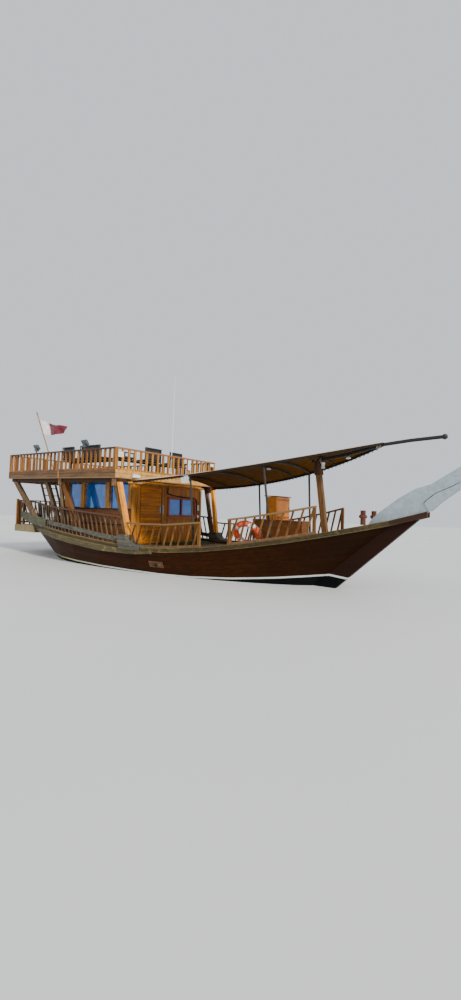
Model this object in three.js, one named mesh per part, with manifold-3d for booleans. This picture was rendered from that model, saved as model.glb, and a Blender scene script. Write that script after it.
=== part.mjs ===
// Motor dhow with an upper deck, an awning forward and a stern gallery.
// Millimetres, +X forward, +Y to port, +Z up. The origin is on the centreline, at the waterline, amidships.
import * as THREE from 'three';
import { mergeVertices } from 'three/addons/utils/BufferGeometryUtils.js';
import Module from 'manifold-3d';

const wasm = await Module();
wasm.setup();

// Driving dimensions
const gap = 0.3;                  // left between faces that touch

const sheer = {                   // top of the cap board, lowest just aft of amidships
  low: 735, lowX: -200,
  foreRise: 1170, foreReach: 6920, forePower: 1.7,
  aftRise: 575, aftReach: 7200, aftPower: 1.3,
};
const capHeight = 125;
const deckThick = 50;
const hull = {
  widestX: -3200,
  keelZ: -850,                    // underside of the planking, where it meets the keel
  sideHalf: 90,                   // half width of the flat that meets stem, keel and sternpost
  stemFootX: 4010, stemSlope: 1.207,      // inner edge of the stem at the waterline, and its rake
  leadFootX: 4600, leadSlope: 1.105,      // leading edge of the stem
  transomX: -6600, transomSlope: -0.62, sternpostSlope: -0.15,
};
const keelBottom = -1100;

const upper = { frontX: -1250, underZ: 2675, length: 6550, halfWidth: 2210, thick: 250, pitchDeg: 1.35 };
const upperRail = { height: 660, railWide: 70, railThick: 45, barWide: 65, barThick: 45, pitch: 238 };

const hatch = { aftX: -7170, foreX: -6200, y0: -1430, y1: -740 };
const ladder = { footX: -6100, topX: -7060, y0: -1390, y1: -780, topZ: 2960, sideWide: 110, sideThick: 35, tread: 130, treads: 6 };

const chest = { aftX: 1650, foreX: 3300, y0: 600, y1: 1000, wideForeX: 2500, wideY1: 1300, top: 1580 };
const locker = { aftX: 2110, foreX: 2450, y0: 600, y1: 1330, top: 2250, wall: 25, doorThick: 24 };

const house = { frontX: -1300, aftX: -4950, halfWidth: 1550, wall: 50 };
const cabinDoor = { hingeY: -1215, latchY: -345, height: 1780, thick: 40 };

const rail = { height: 650, topWide: 75, topThick: 45, barWide: 42, barThick: 30, pitch: 240, rake: 170 };
const sideRail = {
  foreX: -1150, aftX: -8640, zeroX: -1000, zeroZ: 1570, rise: 0.065, plank: 137, openAft: -5700, rake: 230, pitch: 235,
};
const gallery = { aftX: -8750, halfWidth: 1450, bottomZ: 800, topZ: 1070 };

const awning = {
  aftX: -950, foreX: 5700, startX: -1000, reach: 6800, halfWidth: 1800, widthPower: 2.4,
  edgeZ: 2610, edgeSlope: 0.02, edgeBend: 0.0156, crown: 0.13, cloth: 12,
};
const tube = 25;                  // radius of the awning's edge tubes
const hoopTube = 28;              // radius of the posts and bows

const propeller = { x: -6900, z: -500, radius: 290, shaft: 27, bore: 32 };
const rudderAxisX = -7281;

const colour = {
  hull: 0x2f1a0d, stem: 0x46281a, cap: 0x6e6342, wale: 0x7b7254, deck: 0x7a4e33, wall: 0x8a551f,
  upper: 0x7c6049, rail: 0xb87a38, weathered: 0x7c7566, baluster: 0x8a6a48, pillar: 0xb9722c,
  glass: 0x3f6fa3, canvas: 0x3a2512, black: 0x161616, steel: 0x5c5f60, grey: 0xa9b4bb,
  bronze: 0x9a6b2f, engine: 0x3a5a46, orange: 0xd0752f, buoy: 0xe0502f, white: 0xe6e6e2, flag: 0x7a1530,
  ochre: 0x97814b, floodlight: 0x8f979a,
};
const finish = { wood: [0.6, 0], varnish: [0.3, 0], metal: [0.45, 0.8], cloth: [0.95, 0], glass: [0.08, 0], paint: [0.5, 0] };

// Small helpers
const boat = new THREE.Group();
const pieces = {};
const mirrored = [['stbd', -1], ['port', 1]];
const mix = (a, b, t) => a + (b - a) * t;
const clamp = (v, lo, hi) => Math.min(hi, Math.max(lo, v));
const range = (n) => Array.from({ length: n }, (_, i) => i);
const v3 = (x, y, z) => new THREE.Vector3(x, y, z);
const up = v3(0, 0, 1);
const down = v3(0, 0, -1);

function addPiece(name, geometry, tint, kind, parent = boat) {
  const [roughness, metalness] = finish[kind];
  const mesh = new THREE.Mesh(geometry, new THREE.MeshStandardMaterial({ color: tint, roughness, metalness }));
  mesh.name = name;
  parent.add(mesh);
  pieces[name] = geometry;
  return mesh;
}

// A closed skin over rings of points: each ring has as many points as the next, and both ends are capped.
function skin(rings) {
  const n = rings[0].length;
  const points = rings.flat();
  const index = [];
  for (let i = 0; i + 1 < rings.length; i++) {
    for (let j = 0; j < n; j++) {
      const a = i * n + j;
      const b = i * n + (j + 1) % n;
      index.push(a, b, b + n, a, b + n, a + n);
    }
  }
  const last = (rings.length - 1) * n;
  for (let j = 0; j + 1 < n / 2; j++) {      // each end is closed by a ladder between its two halves
    const [a, b, c, d] = [j, j + 1, n - 2 - j, n - 1 - j];
    index.push(a, c, b, a, d, c);
    index.push(last + a, last + b, last + c, last + a, last + c, last + d);
  }
  const geometry = new THREE.BufferGeometry();
  geometry.setAttribute('position', new THREE.Float32BufferAttribute(points.flatMap((p) => [p.x, p.y, p.z]), 3));
  geometry.setIndex(index);
  return facingOut(geometry);
}

// Turns every triangle round when the enclosed volume comes out negative.
function facingOut(geometry) {
  const p = geometry.getAttribute('position');
  const index = geometry.getIndex().array;
  const a = v3(0, 0, 0);
  const b = v3(0, 0, 0);
  const c = v3(0, 0, 0);
  let volume = 0;
  for (let i = 0; i < index.length; i += 3) {
    a.fromBufferAttribute(p, index[i]);
    b.fromBufferAttribute(p, index[i + 1]);
    c.fromBufferAttribute(p, index[i + 2]);
    volume += a.dot(b.cross(c));
  }
  if (volume < 0) {
    for (let i = 0; i < index.length; i += 3) {
      [index[i + 1], index[i + 2]] = [index[i + 2], index[i + 1]];
    }
  }
  return geometry;
}

function toSolid(geometry) {
  const plain = geometry.clone();
  plain.deleteAttribute('normal');
  plain.deleteAttribute('uv');
  const merged = mergeVertices(plain, 1e-3);
  return new wasm.Manifold(new wasm.Mesh({
    numProp: 3,
    vertProperties: new Float32Array(merged.getAttribute('position').array),
    triVerts: new Uint32Array(merged.getIndex().array),
  }));
}

function toGeometry(solid) {
  const mesh = solid.getMesh();
  const geometry = new THREE.BufferGeometry();
  geometry.setAttribute('position', new THREE.BufferAttribute(new Float32Array(mesh.vertProperties), 3));
  geometry.setIndex(new THREE.BufferAttribute(new Uint32Array(mesh.triVerts), 1));
  return geometry;
}

const joined = (list) => toGeometry(list.map(toSolid).reduce((sum, next) => sum.add(next)));
const cut = (body, tools) => toGeometry(tools.map(toSolid).reduce((rest, tool) => rest.subtract(tool), toSolid(body)));

// How far a body can still move before it comes within the gap of another.
const reach = 400;
const roomTo = (body, other) => toSolid(body).minGap(toSolid(other), reach) - gap;

// Moves a body one way until it lies against another.
function seated(body, other, way) {
  for (let i = 0; i < 16; i++) {
    const room = roomTo(body, other);
    body.translate(way.x * room, way.y * room, way.z * room);
  }
  return body;
}

// Builds a body of a given height again and again, until its top or foot comes against another.
function fitted(build, z, other, way) {
  let level = z;
  for (let i = 0; i < 12; i++) {
    level += way * roomTo(build(level), other);
  }
  return build(level);
}

function block(x0, x1, y0, y1, z0, z1) {
  const box = new THREE.BoxGeometry(Math.abs(x1 - x0), Math.abs(y1 - y0), Math.abs(z1 - z0));
  return box.translate((x0 + x1) / 2, (y0 + y1) / 2, (z0 + z1) / 2);
}

// A timber with level ends from a foot to a top, wideX by wideY in section.
function timber(foot, top, wideX, wideY) {
  const ring = (p) => [[-1, -1], [1, -1], [1, 1], [-1, 1]].map(([i, j]) => v3(p.x + i * wideX / 2, p.y + j * wideY / 2, p.z));
  return skin([ring(foot), ring(top)]);
}

// A plank of four corners a station: inner and outer y, bottom and top z.
function plank(stations, side) {
  return skin(stations.map(({ x, inner, outer, innerLow = inner, outerLow = outer, z0, z1 }) => [
    v3(x, side * innerLow, z0),
    v3(x, side * outerLow, z0),
    v3(x, side * outer, z1),
    v3(x, side * inner, z1),
  ]));
}

// A side outline of [x, z] points, given its thickness from y0 to y1.
function sidePlate(outline, y0, y1, holes = []) {
  const shape = new THREE.Shape(outline.map(([x, z]) => new THREE.Vector2(x, z)));
  const plate = new THREE.ExtrudeGeometry(shape, { depth: y1 - y0, bevelEnabled: false });
  plate.rotateX(Math.PI / 2).translate(0, y1, 0);
  return holes.length ? cut(plate, holes.map((hole) => sidePlate(hole, y0 - 10, y1 + 10))) : plate;
}

// A round bar through points that lie in one plane, whose normal is given: a ring at each point, square to the bisector.
function roundBar(points, radius, normal, sides = 8) {
  const across = normal.clone().normalize();
  return skin(points.map((p, i) => {
    const back = points[Math.max(i - 1, 0)];
    const next = points[Math.min(i + 1, points.length - 1)];
    const inward = v3(0, 0, 0).subVectors(p, back).normalize();
    const outward = v3(0, 0, 0).subVectors(next, p).normalize();
    const along = v3(0, 0, 0).addVectors(inward, outward).normalize();
    const half = Math.max(inward.lengthSq() && outward.lengthSq() ? along.dot(outward) : 1, 0.5);
    const out = v3(0, 0, 0).crossVectors(along, across).normalize();
    return range(sides).map((k) => {
      const angle = 2 * Math.PI * (k + 0.5) / sides;
      return p.clone()
        .addScaledVector(across, radius * Math.cos(angle))
        .addScaledVector(out, radius * Math.sin(angle) / half);
    });
  }));
}

const rodAlongX = (x0, x1, radius, sides) => new THREE.CylinderGeometry(radius, radius, Math.abs(x1 - x0), sides)
  .rotateZ(Math.PI / 2).translate((x0 + x1) / 2, 0, 0);

// The lines of the hull
function sheerCurve(x) {
  const ahead = x - sheer.lowX;
  return ahead > 0
    ? sheer.low + sheer.foreRise * (ahead / sheer.foreReach) ** sheer.forePower
    : sheer.low + sheer.aftRise * (-ahead / sheer.aftReach) ** sheer.aftPower;
}
const stemX = (z) => hull.stemFootX + hull.stemSlope * z;
const leadX = (z) => hull.leadFootX + hull.leadSlope * z;
const sternX = (z) => hull.transomX + (z > 0 ? hull.transomSlope : hull.sternpostSlope) * z;

// Levels of the hull: share of the way up from keel to plank top, half width amidships, half width at the transom
const levels = [
  { up: 0.00, mid: 90, stern: 90 },
  { up: 0.10, mid: 700, stern: 90 },
  { up: 0.26, mid: 1450, stern: 110 },
  { up: 0.42, mid: 1820, stern: 400 },
  { up: 0.60, mid: 2000, stern: 750 },
  { up: 0.80, mid: 2090, stern: 1100 },
  { up: 1.00, mid: 2140, stern: 1420 },
];
const shares = [0, 0.05, 0.12, 0.2, 0.3, 0.42, 0.54, 0.64, 0.73, 0.81, 0.88, 0.93, 0.97, 1];

function levelAt(up) {
  const i = clamp(levels.findIndex((row) => row.up >= up), 1, levels.length - 1);
  const t = (up - levels[i - 1].up) / (levels[i].up - levels[i - 1].up);
  return { mid: mix(levels[i - 1].mid, levels[i].mid, t), stern: mix(levels[i - 1].stern, levels[i].stern, t) };
}

// Half width of the planking at x, at a share of the way up.
function hullCurve(x, up) {
  const z = mix(hull.keelZ, sheerCurve(x) - capHeight, up);
  const row = levelAt(up);
  if (x > hull.widestX) {
    const ahead = clamp((x - hull.widestX) / (stemX(z) - hull.widestX), 0, 1);
    return hull.sideHalf + (row.mid - hull.sideHalf) * (1 - ahead ** 2.4) ** 0.8;
  }
  const astern = clamp((hull.widestX - x) / (hull.widestX - sternX(z)), 0, 1);
  return row.stern + (row.mid - row.stern) * (1 - astern ** 2.3) ** 0.85;
}

// The point of the planking at a share of the length and a share of the way up.
function hullPoint(share, up) {
  let x = mix(hull.transomX, hull.stemFootX, share);
  let z = 0;
  for (let i = 0; i < 20; i++) {
    z = mix(hull.keelZ, sheerCurve(x) - capHeight, up);
    x = mix(sternX(z), stemX(z), share);
  }
  return v3(x, hullCurve(x, up), z);
}

// The sheer in straight lengths between stations, so that every board on it lies on the one below.
const sheerLine = shares.map((share) => hullPoint(share, 1));
const stern = sheerLine[0];
const bow = sheerLine[sheerLine.length - 1];
const leadTopX = 6498;
sheerLine.push(v3(leadTopX, 75, sheerCurve(leadTopX) - capHeight), v3(7200, 60, sheerCurve(7200) - capHeight));
function alongSheer(x, pick) {
  const i = clamp(sheerLine.findIndex((p) => p.x >= x), 1, sheerLine.length - 1);
  const [a, b] = [sheerLine[i - 1], sheerLine[i]];
  return mix(pick(a), pick(b), (x - a.x) / (b.x - a.x));
}
const plankTop = (x) => alongSheer(x, (p) => p.z);
const halfWidth = (x) => alongSheer(x, (p) => p.y);
const capTop = (x) => plankTop(x) + capHeight;
const deckTop = (x) => plankTop(x) + deckThick + gap;
function stationsBetween(x0, x1) {
  return [x0, ...sheerLine.map((p) => p.x).filter((x) => x > x0 + 5 && x < x1 - 5), x1];
}

const engineBay = { x0: -4400, x1: -3000, half: 500, floorZ: -560 };
const engine = { x0: -4290, x1: -3110, half: 350, height: 780 };

// The planking as a solid, each side moved out by a distance.
function planking(out) {
  return skin(shares.map((share) => {
    const side = levels.map((row) => hullPoint(share, row.up)).map((p) => v3(p.x, p.y + out, p.z));
    const other = side.map((p) => v3(p.x, -p.y, p.z)).reverse();
    return [...other, ...side];
  }));
}

function buildHull() {
  const bay = block(engineBay.x0, engineBay.x1, -engineBay.half, engineBay.half, engineBay.floorZ, 2000);
  const bore = rodAlongX(-7000, engineBay.x0 + 10, propeller.bore, 12).translate(0, 0, propeller.z);
  addPiece('hull', cut(planking(0), [bay, bore]), colour.hull, 'varnish');
  const engineFloor = engineBay.floorZ + gap;
  const block1 = block(engine.x0, engine.x1, -engine.half, engine.half, engineFloor, engineFloor + engine.height);
  addPiece('engine', block1, colour.engine, 'paint');
}

// Stem, keel, sternposts and the propeller's aperture in one outline.
function buildBackbone() {
  const outline = [
    [bow.x + gap * 2, bow.z],
    [leadTopX, plankTop(leadTopX)],
    [leadX(-700), -700],
    [3500, -960],
    [3200, keelBottom],
    [-7250, keelBottom],
    [-7250, 620],
    [sternX(620) - 0.5, 620],
    ...[0.6, 0.42, 0.26, 0].map((up) => hullPoint(0, up)).map((p) => [p.x - 0.5, p.z === hull.keelZ ? p.z - gap : p.z]),
    [stemX(hull.keelZ) + gap * 2, hull.keelZ - gap],
  ];
  const aperture = [[-6760, -870], [-7070, -870], [-7070, -130], [-6760, -130]];
  const plate = sidePlate(outline, -75, 75, [aperture]);
  const bore = rodAlongX(-6800, -6300, propeller.bore, 12).translate(0, 0, propeller.z);
  addPiece('keel_and_posts', cut(plate, [bore]), colour.stem, 'varnish');

  const boardHalf = 50;
  const boardOutline = [
    [5320, deckTop(5320) + gap],
    [5456, 1689],
    [5639, 1862],
    [6072, 2184],
    [6422, 2387],
    [6737, 2482],
    [6938, 2609],
    [7269, 2815],
    [7860, 3240],
    [7960, 3150],
    [leadX(2990), 2990],
    [leadX(1760), 1760],
    [leadTopX - 6, plankTop(leadTopX - 6) + gap],
    [bow.x, bow.z + gap * 2],
    [bow.x - 24, plankTop(bow.x - 24) + gap * 2],
    [bow.x - 24, deckTop(bow.x - 24) + gap],
  ];
  addPiece('stem_head', sidePlate(boardOutline, -boardHalf, boardHalf), colour.grey, 'paint');
}

// Wales under the cap boards, deep aft and running out just ahead of the knees.
const wales = { aftX: -7150, foreX: 100, taper: 1700, height: 175, foreHeight: 55, proud: 70, foreProud: 22 };

// The cap board is wider aft, where it carries the pillars.
const capInner = (x) => Math.max(halfWidth(x) - mix(120, 225, clamp((-300 - x) / 600, 0, 1)), 50.5);
const capOuter = (x) => Math.max(halfWidth(x) + 45, 140);

function buildDeckEdge() {
  const deck = stationsBetween(stern.x + 5, bow.x - 25).map((x) => {
    const y = capInner(x) - gap * 2;
    return { x, inner: -y, outer: y, z0: plankTop(x) + gap, z1: deckTop(x) };
  });
  addPiece('main_deck', plank(deck, 1), colour.deck, 'wood');

  for (const [sideName, side] of mirrored) {
    const cap = stationsBetween(stern.x + 5, 6680).map((x) => (
      { x, inner: capInner(x), outer: capOuter(x), z0: plankTop(x) + gap * 2, z1: capTop(x) }));
    addPiece(`cap_board_${sideName}`, plank(cap, side), colour.cap, 'wood');

    const wale = stationsBetween(wales.aftX, wales.foreX).map((x) => {
      const fade = clamp((wales.foreX - x) / wales.taper, 0, 1);
      const top = plankTop(x) - gap;
      const low = top - mix(wales.foreHeight, wales.height, fade);
      const at = (z) => hullCurve(x, (z - hull.keelZ) / (plankTop(x) - hull.keelZ));
      const [atTop, atLow] = [at(top), at(low)];
      const proud = mix(wales.foreProud, wales.proud, fade);
      return { x, inner: atTop - 70, outer: atTop + proud, innerLow: atLow - 70, outerLow: atLow + proud, z0: low, z1: top };
    });
    addPiece(`lower_wale_${sideName}`, cut(plank(wale, side), [planking(gap * 2)]), colour.wale, 'wood');
  }
}

// Centre of the outer rails: on the cap board, further in beside the aftmost pillar, and along the gallery's side.
function railY(x) {
  const onCap = halfWidth(Math.max(x, stern.x + 10)) - mix(15, 186, clamp((-5560 - x) / 480, 0, 1));
  const onGallery = gallery.halfWidth - 60;
  return mix(onCap, onGallery, clamp((stern.x + 200 - x) / 900, 0, 1));
}
const sideRailTop = (x) => sideRail.zeroZ + sideRail.rise * (sideRail.zeroX - x);

// Height of the lower rail's top above the cap board: x, height
const plankHeights = [[-8350, 170], [-7100, 190], [-4900, 255], [-3400, 265], [-2400, 235], [-1145, 200]];
function railPlankTop(x) {
  const i = clamp(plankHeights.findIndex((row) => row[0] >= x), 1, plankHeights.length - 1);
  const [[x0, h0], [x1, h1]] = [plankHeights[i - 1], plankHeights[i]];
  return capTop(x) + mix(h0, h1, (x - x0) / (x1 - x0));
}

function railPlank(x0, x1, wide, low, high, side) {
  return plank(stationsBetween(x0, x1).map((x) => (
    { x, inner: railY(x) - wide / 2, outer: railY(x) + wide / 2, z0: low(x), z1: high(x) })), side);
}

// Quarter knee: its top, its hollow fore edge, and a cheek that hangs over the cap board's outer face.
const kneeAftX = -1140;
const kneeForeX = -250;
const kneeTop = 1050;
const kneeEdge = [[-800, kneeTop], [-770, 945], [-705, 872], [-600, 828], [-430, 800], [kneeForeX, 785]];
const cheekInner = capOuter(kneeAftX) + 2;

function kneeHeight(x) {
  const i = clamp(kneeEdge.findIndex((row) => row[0] >= x), 1, kneeEdge.length - 1);
  const [[x0, z0], [x1, z1]] = [kneeEdge[i - 1], kneeEdge[i]];
  return mix(z0, z1, clamp((x - x0) / (x1 - x0), 0, 1));
}

function quarterKnee(side) {
  const seat = stationsBetween(kneeAftX, kneeForeX).map((x) => [x, capTop(x) + gap]).reverse();
  const shape = [[kneeAftX, kneeTop], ...kneeEdge, ...seat];
  const cheek = [[kneeAftX, 960], [-760, 960], [-680, 860], [kneeForeX + 40, 780], [kneeForeX + 20, 660], [kneeAftX + 60, 660]];
  const y = halfWidth(-800);
  const plate = (outline, from, to) => sidePlate(outline, ...[side * from, side * to].sort((a, b) => a - b));
  return joined([plate(shape, y - 205, cheekInner + 34), plate(cheek, cheekInner, cheekInner + 34)]);
}

function buildSideRails() {
  for (const [sideName, side] of mirrored) {
    addPiece(`quarter_knee_${sideName}`, quarterKnee(side), colour.weathered, 'wood');

    // Aft rail: a board on the cap, forward of it a plank clear of the cap, raked bars and a top rail.
    const length = sideRail.foreX - sideRail.aftX;
    const count = Math.round(length / sideRail.pitch);
    const boardLow = (x) => capTop(x) + gap + 0.072 * Math.max(0, stern.x - x);
    const bars = range(count + 1).map((i) => {
      const footX = mix(sideRail.foreX - 30, sideRail.aftX + sideRail.rake + 30, i / count);
      const overBoard = footX < sideRail.openAft;
      const onGallery = footX < -8300;
      const wide = i % 8 === 0 || onGallery ? 70 : rail.barWide;
      const onCap = Math.max(capTop(footX - wide / 2), capTop(footX + wide / 2)) + gap;
      const onBoard = overBoard ? railPlankTop(footX) - 40 : onCap;
      const topX = onGallery ? footX : footX - sideRail.rake;
      const foot = v3(footX, side * railY(footX), onGallery ? gallery.topZ + gap : onBoard);
      const top = v3(topX, side * railY(topX), sideRailTop(topX) - 20);
      return timber(foot, top, wide, rail.barThick);
    });
    const board = railPlank(-8350, sideRail.openAft, 50, boardLow, railPlankTop, side);
    const plankLow = (x) => railPlankTop(x) - sideRail.plank;
    const fore = railPlank(sideRail.openAft - 5, sideRail.foreX, 50, plankLow, railPlankTop, side);
    const top = railPlank(sideRail.aftX, sideRail.foreX, rail.topWide,
      (x) => sideRailTop(x) - rail.topThick, sideRailTop, side);
    addPiece(`side_rail_${sideName}`, joined([board, fore, top, ...bars]), colour.baluster, 'wood');

    // Waist and fore rails. Columns are the name, the handrail's aft end, the lower board's, and the fore end.
    for (const [name, aftX, boardX, foreX] of [['waist_rail', -870, -150, 1600], ['fore_rail', 2350, 2350, 4420]]) {
      const firstX = aftX + (aftX < boardX ? 170 : 60);
      const bays = Math.round((foreX - firstX - rail.rake) / rail.pitch);
      const raked = range(bays + 1).map((i) => {
        const footX = mix(firstX, foreX - rail.rake - 40, i / bays);
        const topX = footX + rail.rake;
        const onKnee = Math.max(kneeHeight(footX - 35), kneeHeight(footX + 35)) + gap;
        const footZ = footX < kneeForeX + 40 ? onKnee : capTop(footX) + 30;
        return timber(
          v3(footX, side * railY(footX), footZ),
          v3(topX, side * railY(topX), capTop(topX) + rail.height - 20), rail.barWide, rail.barThick);
      });
      const ends = [...(aftX < boardX ? [] : [aftX + 35]), foreX - 35].map((x) => timber(
        v3(x, side * railY(x), capTop(x) + 30), v3(x, side * railY(x), capTop(x) + rail.height - 20), 70, 60));
      const lower = railPlank(boardX, foreX, 60, (x) => capTop(x) + gap, (x) => capTop(x) + 55, side);
      const handrail = railPlank(aftX, foreX, rail.topWide,
        (x) => capTop(x) + rail.height - rail.topThick, (x) => capTop(x) + rail.height, side);
      addPiece(`${name}_${sideName}`, joined([lower, handrail, ...raked, ...ends]), colour.baluster, 'wood');
    }
  }
}

function buildGallery() {
  const { aftX, halfWidth: half, bottomZ, topZ } = gallery;
  const outline = [[aftX, bottomZ], [sternX(bottomZ) - gap * 2, bottomZ], [sternX(topZ) - gap * 2, topZ], [aftX, topZ]];
  addPiece('gallery_platform', sidePlate(outline, -half, half), colour.ochre, 'wood');
  const inner = half - 110;
  const x0 = aftX + 20;
  const x1 = aftX + 80;
  const railZ = sideRailTop(sideRail.aftX);
  const bars = range(13).map((i) => {
    const y = mix(-inner + 35, inner - 35, i / 12);
    const wide = i % 6 === 0 ? 70 : 45;
    return block(x0 + 12, x1 - 12, y - wide / 2, y + wide / 2, topZ + gap, railZ - 20);
  });
  const top = block(x0, x1, -inner, inner, railZ - 45, railZ);
  const low = block(x0, x1, -inner, inner, topZ + 60, topZ + 130);
  addPiece('gallery_rail', joined([top, low, ...bars]), colour.rail, 'wood');
}

function buildDrive() {
  const { x, z, radius, shaft } = propeller;
  const parts = [
    rodAlongX(engine.x0 - gap, x + 60, shaft, 12),
    rodAlongX(x - 80, x + 90, 48, 12),
  ];
  for (const i of range(3)) {
    const blade = new THREE.SphereGeometry(1, 10, 8).scale(16, 95, (radius - 30) / 2);
    blade.rotateZ(THREE.MathUtils.degToRad(28)).translate(0, 0, (radius + 30) / 2);
    parts.push(blade.rotateX(2 * Math.PI * i / 3).translate(x, 0, 0));
  }
  addPiece('propeller', joined(parts).translate(0, 0, z), colour.bronze, 'metal');

  const bladeOutline = [
    [rudderAxisX - 5, -1050], [-7720, -1050], [-7800, -900], [-7740, -200], [-7560, 420], [rudderAxisX - 5, 480],
  ];
  const stock = new THREE.CylinderGeometry(30.6, 30.6, 1800, 16).rotateX(Math.PI / 2).translate(rudderAxisX, 0, -150);
  addPiece('rudder', joined([sidePlate(bladeOutline, -29, 29), stock]), colour.stem, 'varnish');
}

// The upper deck's frame: x runs aft from its front edge, z is up from its underside, and it rises aft.
const upperGroup = new THREE.Group();
upperGroup.position.set(upper.frontX, 0, upper.underZ);
upperGroup.rotation.y = THREE.MathUtils.degToRad(upper.pitchDeg);
boat.add(upperGroup);
const underDeck = (x) => upper.underZ + Math.tan(upperGroup.rotation.y) * (upper.frontX - x);

function railPanel(length) {
  const { height, railWide, railThick, barWide, barThick, pitch } = upperRail;
  const count = Math.round(length / pitch);
  const bars = range(count + 1).map((i) => {
    const ending = i === 0 || i === count;
    const wide = ending ? 80 : barWide;
    const x = mix(wide / 2, length - wide / 2, i / count);
    const thick = ending ? 60 : barThick;
    return block(x - wide / 2, x + wide / 2, -thick / 2, thick / 2, 40, height - 20);
  });
  const top = block(0, length, -railWide / 2, railWide / 2, height - railThick, height);
  const low = block(0, length, -32, 32, gap, 55);
  return joined([top, low, ...bars]);
}

// Seats on the upper deck, in its frame. Columns of backs are x, x, y, y and top.
const seats = [
  {
    name: 'bench_side',
    seat: [-4050, -1450, -1590, -1130],
    backs: [[-3950, -3250, -1590, -1550, 900], [-2850, -1750, -1590, -1550, 910]],
    legs: [-4000, -2750, -1500].flatMap((x) => [[x, -1550], [x, -1170]]),
  },
  {
    name: 'bench_front',
    seat: [-1130, -670, -1450, 1400],
    backs: [[-700, -660, -1400, -1000, 640], [-700, -660, -550, 150, 905], [-700, -660, 560, 1150, 880]],
    legs: [-1400, -30, 1350].flatMap((y) => [[-1090, y], [-710, y]]),
  },
];

function buildUpperDeck() {
  const { length, halfWidth: half, thick } = upper;
  const hatchWay = block(hatch.aftX - upper.frontX, hatch.foreX - upper.frontX, hatch.y0, hatch.y1, -50, thick + 50);
  const deck = cut(block(-length, 0, -half, half, 0, thick), [hatchWay]);
  addPiece('upper_deck', deck, colour.upper, 'wood', upperGroup);
  const inset = 40;
  const corner = 85;
  const panels = [                 // name, length, x, y, turn
    ['upper_rail_front', 2 * (half - 5), -inset, -half + 5, Math.PI / 2],
    ['upper_rail_aft', 2 * (half - 5), -length + inset, -half + 5, Math.PI / 2],
    ['upper_rail_stbd', length - 2 * corner, -length + corner, -half + inset, 0],
    ['upper_rail_port', length - 2 * corner, -length + corner, half - inset, 0],
  ];
  for (const [name, span, x, y, turn] of panels) {
    const panel = addPiece(name, railPanel(span), colour.rail, 'wood', upperGroup);
    panel.position.set(x, y, thick);
    panel.rotation.z = turn;
  }

  for (const { name, seat, backs, legs } of seats) {
    const parts = [
      block(...seat, 380, 440),
      ...backs.map(([x0, x1, y0, y1, top]) => block(x0, x1, y0, y1, 430, top)),
      ...legs.map(([x, y]) => block(x - 30, x + 30, y - 30, y + 30, gap, 400)),
    ];
    const bench = addPiece(name, joined(parts), colour.black, 'cloth', upperGroup);
    bench.position.z = thick;
  }

  const floodlight = () => joined([
    block(-60, 60, -45, 45, 60, 270),
    block(-15, 15, -15, 15, gap, 70),
  ]);
  const railTopZ = thick + upperRail.height;
  for (const [name, x] of [['floodlight_aft', -4630], ['floodlight_fore', -1660]]) {
    const lamp = addPiece(name, floodlight(), colour.floodlight, 'paint', upperGroup);
    lamp.position.set(x, -half + inset, railTopZ);
  }

  const whip = new THREE.CylinderGeometry(5, 16, 3330, 8).rotateX(Math.PI / 2).translate(-130, 100, thick + gap + 1665);
  addPiece('antenna', whip, colour.white, 'paint', upperGroup);

  const staffFoot = v3(-7250, -630, underDeck(-7250) + thick + 13);
  const staffTop = v3(-8910, -630, 5800);
  addPiece('flagstaff', roundBar([staffFoot, staffTop], 24, v3(0, 1, 0)), colour.pillar, 'wood');
  const along = (t) => v3(0, 0, 0).lerpVectors(staffFoot, staffTop, t);
  const flyX = 0.93;
  const flyY = 0.37;
  const corners = [[0.895, 0], [0.65, 0], [0.66, 950], [0.8, 1060]].map(([t, out]) => {
    const p = along(t);
    return v3(p.x + (out + 34) * flyX, p.y + (out + 34) * flyY, p.z);
  });
  const ring = (shift) => corners.map((p) => v3(p.x - flyY * shift, p.y + flyX * shift, p.z));
  addPiece('flag', seated(skin([ring(-6), ring(6)]), pieces.flagstaff, v3(-flyX, -flyY, 0)), colour.flag, 'cloth');
}

// Pillars: x and y of the top, x of the foot, how far the foot is inside the planking, what it stands on, section.
const pillars = [
  { topX: -1220, topY: 2085, footX: -880, footIn: 105, footZ: () => kneeTop, wide: 128, deep: 110 },
  { topX: -1500, topY: 2035, footX: -1050, footIn: 150, footZ: () => kneeTop, wide: 135, deep: 90 },
  { topX: -4280, topY: 2025, footX: -3370, footIn: 150, footZ: capTop, wide: 210, deep: 110 },
  { topX: -4390, topY: 2060, footX: -4250, footIn: 185, footZ: capTop, wide: 130, deep: 90 },
  { topX: -5620, topY: 1880, footX: -4670, footIn: 255, footZ: capTop, wide: 200, deep: 110 },
  { topX: -7500, topY: 2085, footX: -6250, footIn: 0, footZ: capTop, wide: 280, deep: 116 },
];

function buildPillars() {
  for (const [sideName, side] of mirrored) {
    const posts = pillars.map(({ topX, topY, footX, footIn, footZ, wide, deep }) => {
      const seatZ = Math.max(footZ(footX - wide / 2), footZ(footX + wide / 2)) + gap;
      return timber(
        v3(footX, side * (halfWidth(footX) - footIn), seatZ), v3(topX, side * topY, underDeck(topX) - 30), wide, deep);
    });
    const beam = skin([-1180, -7700].map((x) => [[1880, -110], [2120, -110], [2120, -gap], [1880, -gap]]
      .map(([y, dz]) => v3(x, side * y, underDeck(x) + dz))));
    addPiece(`pillars_${sideName}`, joined([beam, ...posts]), colour.pillar, 'wood');
  }
}

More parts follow.
